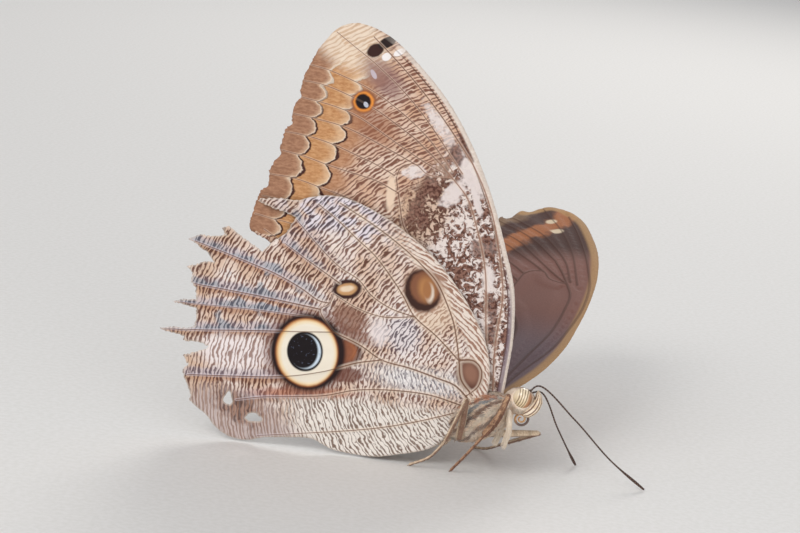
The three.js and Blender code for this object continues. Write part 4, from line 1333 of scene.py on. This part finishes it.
# %% Places for the tufts
EYES = {"right": np.array((5.4, -2.35, -2.5)), "left": np.array((5.0, 1.15, -3.3))}
EYE_SIZE = np.array((1.95, 1.65, 2.12))
halves = [(f[0], f[2], f[3]) for f in skin_faces if len(f) == 4]
corners = np.array([f[:3] for f in skin_faces] + halves)
edge_a = skin_points[corners[:, 1]] - skin_points[corners[:, 0]]
edge_b = skin_points[corners[:, 2]] - skin_points[corners[:, 0]]
face_normal = np.cross(edge_a, edge_b)
face_area = np.linalg.norm(face_normal, axis=1)
face_normal /= face_area[:, None] + 1e-12


def roots_on_skin(count, low, high, chance):
    """Seeded places on the skin between two distances from the tail, off the eyes."""
    middle = skin_body[corners[:, 0], 0]
    weight = face_area * ((middle >= low) & (middle < high))
    chosen = chance.choice(len(corners), count, p=weight / weight.sum())
    u, v = chance.random((2, count))
    flip = u + v > 1
    u[flip], v[flip] = 1 - u[flip], 1 - v[flip]
    places = skin_points[corners[chosen, 0]] + edge_a[chosen] * u[:, None] + edge_b[chosen] * v[:, None]
    clear = np.ones(count, bool)
    for centre in EYES.values():
        clear &= (((places - centre) / (EYE_SIZE * 1.06)) ** 2).sum(1) > 1
    clear &= places[:, 2] > FLOOR + 0.35
    return places[clear], face_normal[chosen][clear]


def along_skin(flow, normals):
    """What is left of a direction once it is laid into the skin."""
    return flow - (flow * normals).sum(1)[:, None] * normals


def tufts(name, roots, normals, flow, length, width, lift, chance):
    """One coat piece: a bent three-sided spike for every root."""
    count = len(roots)
    flow = along_skin(flow, normals)
    flow = along_skin(flow + chance.normal(0, 0.22, flow.shape), normals)
    flow /= np.linalg.norm(flow, axis=1)[:, None]
    angle = (lift + chance.normal(0, 0.1, count))[:, None]
    size = (length * chance.uniform(0.7, 1.25, count))[:, None]
    thick = (width * chance.uniform(0.75, 1.2, count))[:, None]
    toward = flow * np.cos(angle) + normals * np.sin(angle)
    aside = np.cross(normals, flow)
    over = np.cross(toward, aside)
    base = roots - normals * 0.12
    middle = roots + toward * size * 0.5
    tip = roots + toward * size * 0.85 + flow * size * 0.15 - normals * size * 0.06
    points = np.zeros((count, 7, 3))
    for k, (a, b) in enumerate(((1, 0), (-0.5, 0.6), (-0.5, -0.6))):
        offset = aside * a * thick + over * b * thick
        points[:, k] = base + offset
        points[:, 3 + k] = middle + offset * 0.75
    points[:, 6] = tip
    points[..., 2] = np.maximum(points[..., 2], FLOOR + 0.02)
    pattern = [(0, 1, 4, 3), (1, 2, 5, 4), (2, 0, 3, 5), (3, 4, 6), (4, 5, 6), (5, 3, 6), (2, 1, 0)]
    faces = [tuple(7 * i + k for k in face) for i in range(count) for face in pattern]
    made = new_piece(name, to_metres(points.reshape(-1, 3)), faces, [COAT_PAINT.material], [])
    body = on_body(roots)
    set_values(made.data, "body", np.repeat(body, 7, axis=0))
    set_values(made.data, "hair", np.tile([0, 0, 0, 0.5, 0.5, 0.5, 1], count))
    spread = np.array([(-15, 0), (15, 0), (0, 6), (-10, 15), (10, 15), (0, 20), (0, 30)]) * 1e-4
    unroll(made.data, (body_unwrap(body)[:, None] + spread[None]).reshape(-1, 2))
    print(name, "tufts:", count, "triangles:", count * 10)


# %% Make the coat
chance = np.random.default_rng(5)
COATS = (
    ("coat_thorax", "fur", 15000, WAIST_AT - 1.0, NECK_AT - 0.6, 1.15, 0.085, 0.34),
    ("coat_abdomen", "abdomen_fur", 11000, 0.0, WAIST_AT + 0.6, 0.8, 0.075, 0.26),
    ("coat_head", "fur", 9000, NECK_AT - 1.4, SPINE.length, 0.55, 0.06, 0.4),
)
for name, slot, count, low, high, length, width, lift in COATS:
    roots, normals = roots_on_skin(count, low, high, chance)
    share = on_body(roots)[:, 0] / SPINE.length
    backward = -SPINE.heading(share) + np.array((0, 0, -0.35))
    tufts(name, roots, normals, backward, length, width, lift, chance)
tail_roots, tail_normals = roots_on_skin(900, 0.0, 1.6, chance)
tufts("tail_tuft", tail_roots, tail_normals,
      np.tile(-SPINE.heading([0.0]), (len(tail_roots), 1)), 1.5, 0.09, 0.2, chance)

# %% [markdown]
# ## Eyes
# An owl butterfly's eye is a large smooth ball of tiny facets, pale with darker curved
# stripes that show through its clear surface. The ball is a sphere of many faces, pressed
# a little flat against the head. The stripes are drawn in the eye's own coordinates, and
# a clear coat gives it its shine.


# %% Eye paint and eyes
def eye_paint():
    p = Paint("striped eye", Roughness=0.3, Coat_Weight=0.7, Coat_Roughness=0.12)
    ball = p.attribute("ball").output("Vector")
    x, _, z = p.split(ball)
    bend = x * 1.0 - z * 0.34 + z * z * 0.22 + (p.cloud(ball, 2.0, 1) - 0.5) * 0.12
    stripe = p.rise((bend * 23).sine(), 0.1, 0.7) * p.fall(abs(bend + 0.05), 0.5, 0.75)
    p.colour = p.blend(p.rise(z, -0.9, 0.9), tone(226, 202, 160), tone(244, 226, 196))
    p.lay(stripe * 0.85, tone(116, 84, 48))
    front = p.rise(bend, 0.36, 0.66)
    p.lay(front * 0.85, tone(176, 106, 50))
    p.lay(p.rise(bend, 0.7, 0.9) * 0.6, tone(96, 56, 32))
    p.dress()
    facets = p.node("TexVoronoi", {"feature": "F1"}, {"Vector": ball, "Scale": 26.0})
    p.relief(1 - facets, 0.03, 0.25)
    return p


EYE_PAINT = eye_paint()
for side, centre in EYES.items():
    latitude = np.linspace(-math.pi / 2, math.pi / 2, 41)
    ball_path = Path([(0, 0, -1), (0, 0, 1)])
    profile = [((math.sin(a) + 1) / 2, math.cos(a)) for a in latitude]
    points, faces, _ = turned(ball_path, profile, 48, up=(0, 1, 0))
    eye = Parts().add((centre + points * EYE_SIZE, faces, points))
    eye.piece(f"eye_{side}", "eye", EYE_PAINT, [f"eye_{side}"], "ball")

# %% [markdown]
# ## Palps, tongue and feelers
# Two striped palps curve up in front of the face. Between them hangs the tongue, a
# ringed tube rolled up like a watch spring. The feelers are long thin chains of rings
# with a slight club. All are turned profiles along a curve, which keeps the rings even.


# %% Paint for tubes
def tube_paint(name, dark, light, ringed, roughness, coat=0.0, stripe=(), outer=None):
    """Rings along a tube; a palp has stripes along it, the tongue a dark outer turn."""
    p = Paint(name, Coat_Weight=coat, Coat_Roughness=0.25, Specular_IOR_Level=0.35)
    place = p.attribute("tube").output("Vector")
    along, angle, share = p.split(place)
    blot = p.cloud(p.stretched(place, 1.4, 1.0, 3.0), 1.2, 3, 0.6)
    p.colour = p.blend(p.rise(blot, 0.3, 0.7), dark, light)
    ring = (along * (2 * math.pi / ringed)).sine()
    p.lay(p.rise(ring, 0.5, 0.95) * 0.2, tone(206, 186, 156))
    for centre, width in stripe:
        line = p.fall(abs(angle - centre), width * 0.6, width)
        p.lay(line * 0.9, tone(104, 66, 50))
    if outer:
        p.lay(p.fall(share, 0.42, 0.56) * 0.85, outer)
    p.lay(p.rise(share, 0.97, 1.0) * 0.5, dark)
    p.dress(roughness + blot * 0.2)
    p.relief(ring + blot, 0.03, 0.5)
    return p


PALP_PAINT = tube_paint("palp scales", tone(222, 194, 160), tone(246, 232, 212), 3.1, 0.7,
                        stripe=((0.9, 0.3), (2.5, 0.2), (3.3, 0.15), (3.9, 0.15), (5.3, 0.3)))
TONGUE_PAINT = tube_paint("rolled tongue", tone(178, 120, 70), tone(226, 184, 132), 0.34, 0.35, 0.4,
                          outer=tone(70, 62, 72))
FEELER_RING = 0.62
FEELER_PAINT = tube_paint("feeler horn", tone(40, 22, 17), tone(80, 46, 35), FEELER_RING, 0.42, 0.2)

# %% Palps
PALP_LINE = [(5.9, -2.5, -5.9), (7.1, -2.6, -5.2), (8.1, -2.5, -4.1), (8.7, -2.3, -2.6),
             (8.7, -2.0, -1.0)]
for side, shift in (("right", (0, 0, 0)), ("left", (-0.2, 2.1, -0.1))):
    path = Path(np.array(PALP_LINE) + shift)
    profile = [(0, 0), (0.03, 0.5), (0.15, 0.9), (0.45, 1.02), (0.7, 0.86), (0.76, 0.7), (0.8, 0.6),
               (0.93, 0.42), (1, 0)]
    palp = Parts().add(turned(path, profile, 24, up=(0, 1, 0), steps=40))
    palp.piece(f"palp_{side}", "fur", PALP_PAINT, [f"palp_{side}"])

# %% Tongue
COIL_TURNS, COIL_STEPS, COIL_REACH, COIL_PITCH = 1.9, 32, 1.5, 0.72
COIL_X, COIL_Y, COIL_Z = 5.7, -1.1, -7.1
coil = [(6.4, -1.0, -4.4), (7.2, -1.1, -5.8)]
for i in range(COIL_STEPS + 1):
    angle = 0.35 - COIL_TURNS * 2 * math.pi * i / COIL_STEPS
    reach = COIL_REACH - COIL_PITCH * COIL_TURNS * i / COIL_STEPS * 0.95
    x, z = COIL_X + reach * math.cos(angle), COIL_Z + reach * math.sin(angle)
    coil.append((x, COIL_Y - 0.1 * i / COIL_STEPS, z))
tongue_path = Path(coil)
tongue_profile = [(0, 0), (0.01, 0.26), (0.6, 0.25), (0.97, 0.16), (1, 0)]
tongue = Parts().add(turned(tongue_path, tongue_profile, 14, up=(0, 1, 0), steps=220))
tongue.piece("tongue", "tongue", TONGUE_PAINT, ["proboscis"])

# %% Feelers
FEELERS = {
    "right": [(6.4, -1.3, -1.6), (8.4, -1.0, 0.1), (16.4, -2.2, -5.7), (24.6, -1.2, -13.4),
              (32.4, 0, FLOOR + 0.3)],
    "left": [(6.6, -0.4, -1.9), (9.1, 0.6, -1.6), (13.6, 4.2, -9.6), (16.4, 7.6, -14.7),
             (18.9, 11.0, FLOOR + 0.3)],
}
for side, line in FEELERS.items():
    path = Path(line)
    rings = round(path.length / FEELER_RING)
    profile = [(0, 0), (0.002, 0.26)]
    for i in range(rings):
        t = (i + 0.1) / rings
        club = 0.16 + 0.02 * (1 - t) + 0.15 * math.exp(-(((t - 0.9) / 0.09) ** 2))
        profile += [(t, club * 0.86), (t + 0.55 / rings, club), (t + 0.85 / rings, club * 1.04)]
    profile = [stop for stop in profile if stop[0] < 0.995] + [(0.997, 0.12), (1, 0)]
    feeler = Parts().add(turned(path, profile, 14, up=(0, 1, 0)))
    socket_path = Path([np.array(line[0]) - (0.4, 0, 0.3), path.at(0.03)])
    feeler.add(turned(socket_path, [(0, 0), (0.1, 0.4), (0.6, 0.42), (1, 0.2)], 16, up=(0, 1, 0)))
    feeler.piece(f"feeler_{side}", "horn", FEELER_PAINT, [f"antenna_{side}"])

# %% [markdown]
# ## Legs
# The animal stands on four legs. Each has a thick femur, a thin tibia with two spurs at
# its end, and a foot of five short segments with a pair of claws. The front pair are
# small brushes folded under the chest. The parts of a leg are separate turned profiles
# in one mesh, which is how the real joints look: one tube set into the next.


# %% Leg paint
def leg_paint(name, pale):
    p = Paint(name, Sheen_Weight=0.15, Specular_IOR_Level=0.3)
    place = p.attribute("tube").output("Vector")
    along, angle, _ = p.split(place)
    grain = p.cloud(p.stretched(place, 2.5, 1.2, 0.0), 1.5, 3, 0.6)
    two_tones = (tone(140, 96, 70), tone(206, 170, 136))
    if pale:
        two_tones = (tone(196, 166, 134), tone(232, 214, 188))
    p.colour = p.blend(p.rise(grain, 0.3, 0.7), *two_tones)
    under = p.fall(abs(angle - 3.4), 0.6, 1.2)
    p.lay(under * 0.8, tone(104, 62, 46))
    bands = p.rise((along * 2.1 + grain * 2).sine(), 0.4, 0.9)
    p.lay(bands * (0.25 if pale else 0.6), tone(92, 56, 44))
    p.dress(0.6 + grain * 0.3)
    p.relief(grain, 0.06, 0.6)
    return p


PALE_LEG, BANDED_LEG = leg_paint("pale leg scales", True), leg_paint("banded leg scales", False)
SOLE = FLOOR + 0.24
LEGS = {
    "midleg_right": ([(-1.4, -3.4, -10.9), (0.9, -5.2, -6.4), (2.6, -4.9, -1.2)], (0.2, -6.2, -7.6),
                     (-4.6, -4.6, -15.2), (-7.0, -2.6, SOLE), BANDED_LEG),
    "midleg_left": ([(-1.0, 2.0, -12.0), (10.2, 3.0, -10.8)], (3.0, 10.8, -16.6),
                    (0.2, 13.4, -18.6), (-2.4, 15.2, SOLE), PALE_LEG),
    "hindleg_right": ([(-6.2, -2.6, -12.6), (-5.6, -5.4, -3.0)], (-8.9, -4.9, -12.6),
                      (-11.4, -3.8, -16.4), (-15.4, -2.2, SOLE), PALE_LEG),
    "hindleg_left": ([(-6.2, 4.4, -13.2), (-8.4, 9.0, -11.2)], (-10.6, 12.6, -15.6),
                     (-12.6, 14.2, -18.6), (-15.2, 15.6, SOLE), BANDED_LEG),
}


# The radius at the start and at the end of each part of a leg.
FEMUR, SHIN, FOOT, SPUR, CLAW = (0.72, 0.55), (0.46, 0.38), (0.27, 0.31), (0.13, 0.05), (0.1, 0.04)
LEG_HAIRS, BRUSH_HAIRS = 90, 420


def limb(points, start, end, sides=16):
    """A tapering tube with rounded ends that reach a little past its points."""
    path = Path(points)
    cap = start / path.length
    profile = [(0, 0), (cap * 0.25, start * 0.66), (cap * 0.7, start * 0.95), (cap, start)]
    profile += [(0.45, start * 1.04 if start > 0.6 else (start + end) / 2), (1 - cap * 0.8, end)]
    profile += [(1 - cap * 0.3, end * 0.7), (1, 0)]
    return turned(path, profile, sides, up=(0.1, 0.2, 1.0), steps=26)


def hair(root, lean, stand, bends, ends, chance):
    """A fine hair that stands off a limb in some direction and leans along it."""
    way = chance.normal(0, 1, 3)
    way /= np.linalg.norm(way)
    start = root + way * stand
    points = [start] + [start + way * out + lean * along for out, along in bends]
    return limb(points, *ends, 4)


# %% Make the standing legs
chance = np.random.default_rng(21)
for name, (femur, ankle, foot, toe, finish) in LEGS.items():
    parts = Parts().add(limb(femur, *FEMUR)).add(limb([femur[-1], ankle], *SHIN))
    sole_path = Path([ankle, foot, toe])
    stops = (0, 0.4, 0.58, 0.73, 0.86, 1.0)
    for a, b in zip(stops[:-1], stops[1:]):
        ends = sole_path.at(np.array([a, (a + b) / 2, min(1, b + 0.012)]))
        parts.add(limb(ends, *FOOT, 12))
    ankle_point, shin = np.array(ankle), np.array(ankle) - np.array(femur[-1])
    shin = shin / np.linalg.norm(shin)
    last = sole_path.heading(1.0)
    level = np.array((-last[1], last[0], 0)) / np.linalg.norm(last[:2])
    for aside in (-1, 1):
        spur = [ankle_point - shin * 0.3, ankle_point + shin * 0.5 + level * 0.35 * aside,
                ankle_point + shin * 1.1 + level * 0.5 * aside]
        parts.add(limb(spur, *SPUR, 8))
        tip = np.array(toe) + last * 0.25 + level * 0.22 * aside
        claw = [toe, tip, tip + last * 0.2 + level * 0.1 * aside - (0, 0, 0.06)]
        parts.add(limb(claw, *CLAW, 8))
    for _ in range(LEG_HAIRS):
        share = chance.random()
        bone = Path(femur if chance.random() < 0.6 else [femur[-1], ankle])
        bends = ((0.22, 0.35), (0.3, 0.8))
        parts.add(hair(bone.at(share), shin, 0.4, bends, (0.045, 0.03), chance))
    parts.vertices = [np.column_stack([v[:, :2], np.maximum(v[:, 2], FLOOR)]) for v in parts.vertices]
    parts.piece(name, "leg", finish, [name])

# %% Brush legs
BRUSH_PAINT = tube_paint("brush hair", tone(236, 216, 192), tone(250, 240, 226), 2.6, 0.75)
BRUSHES = {
    "foreleg_right": [(3.0, -3.6, -4.6), (3.4, -4.6, -8.6), (3.0, -4.0, -11.4)],
    "foreleg_left": [(2.0, -1.6, -7.0), (2.0, -2.0, -9.4), (1.4, -1.6, -11.8)],
}
for name, line in BRUSHES.items():
    path = Path(line)
    profile = [(0, 0), (0.05, 0.4), (0.5, 0.5), (0.9, 0.3), (1, 0)]
    brush = Parts().add(turned(path, profile, 16, steps=20))
    for _ in range(BRUSH_HAIRS):
        share = chance.uniform(0.05, 1.0)
        bends = ((0.3, 0.5), (0.35, 1.3))
        brush.add(hair(path.at(share), path.heading(share), 0.25, bends, (0.06, 0.04), chance))
    brush.piece(name, "fur", BRUSH_PAINT, [name])

# %% Bring the scene up to date
bpy.context.view_layer.update()
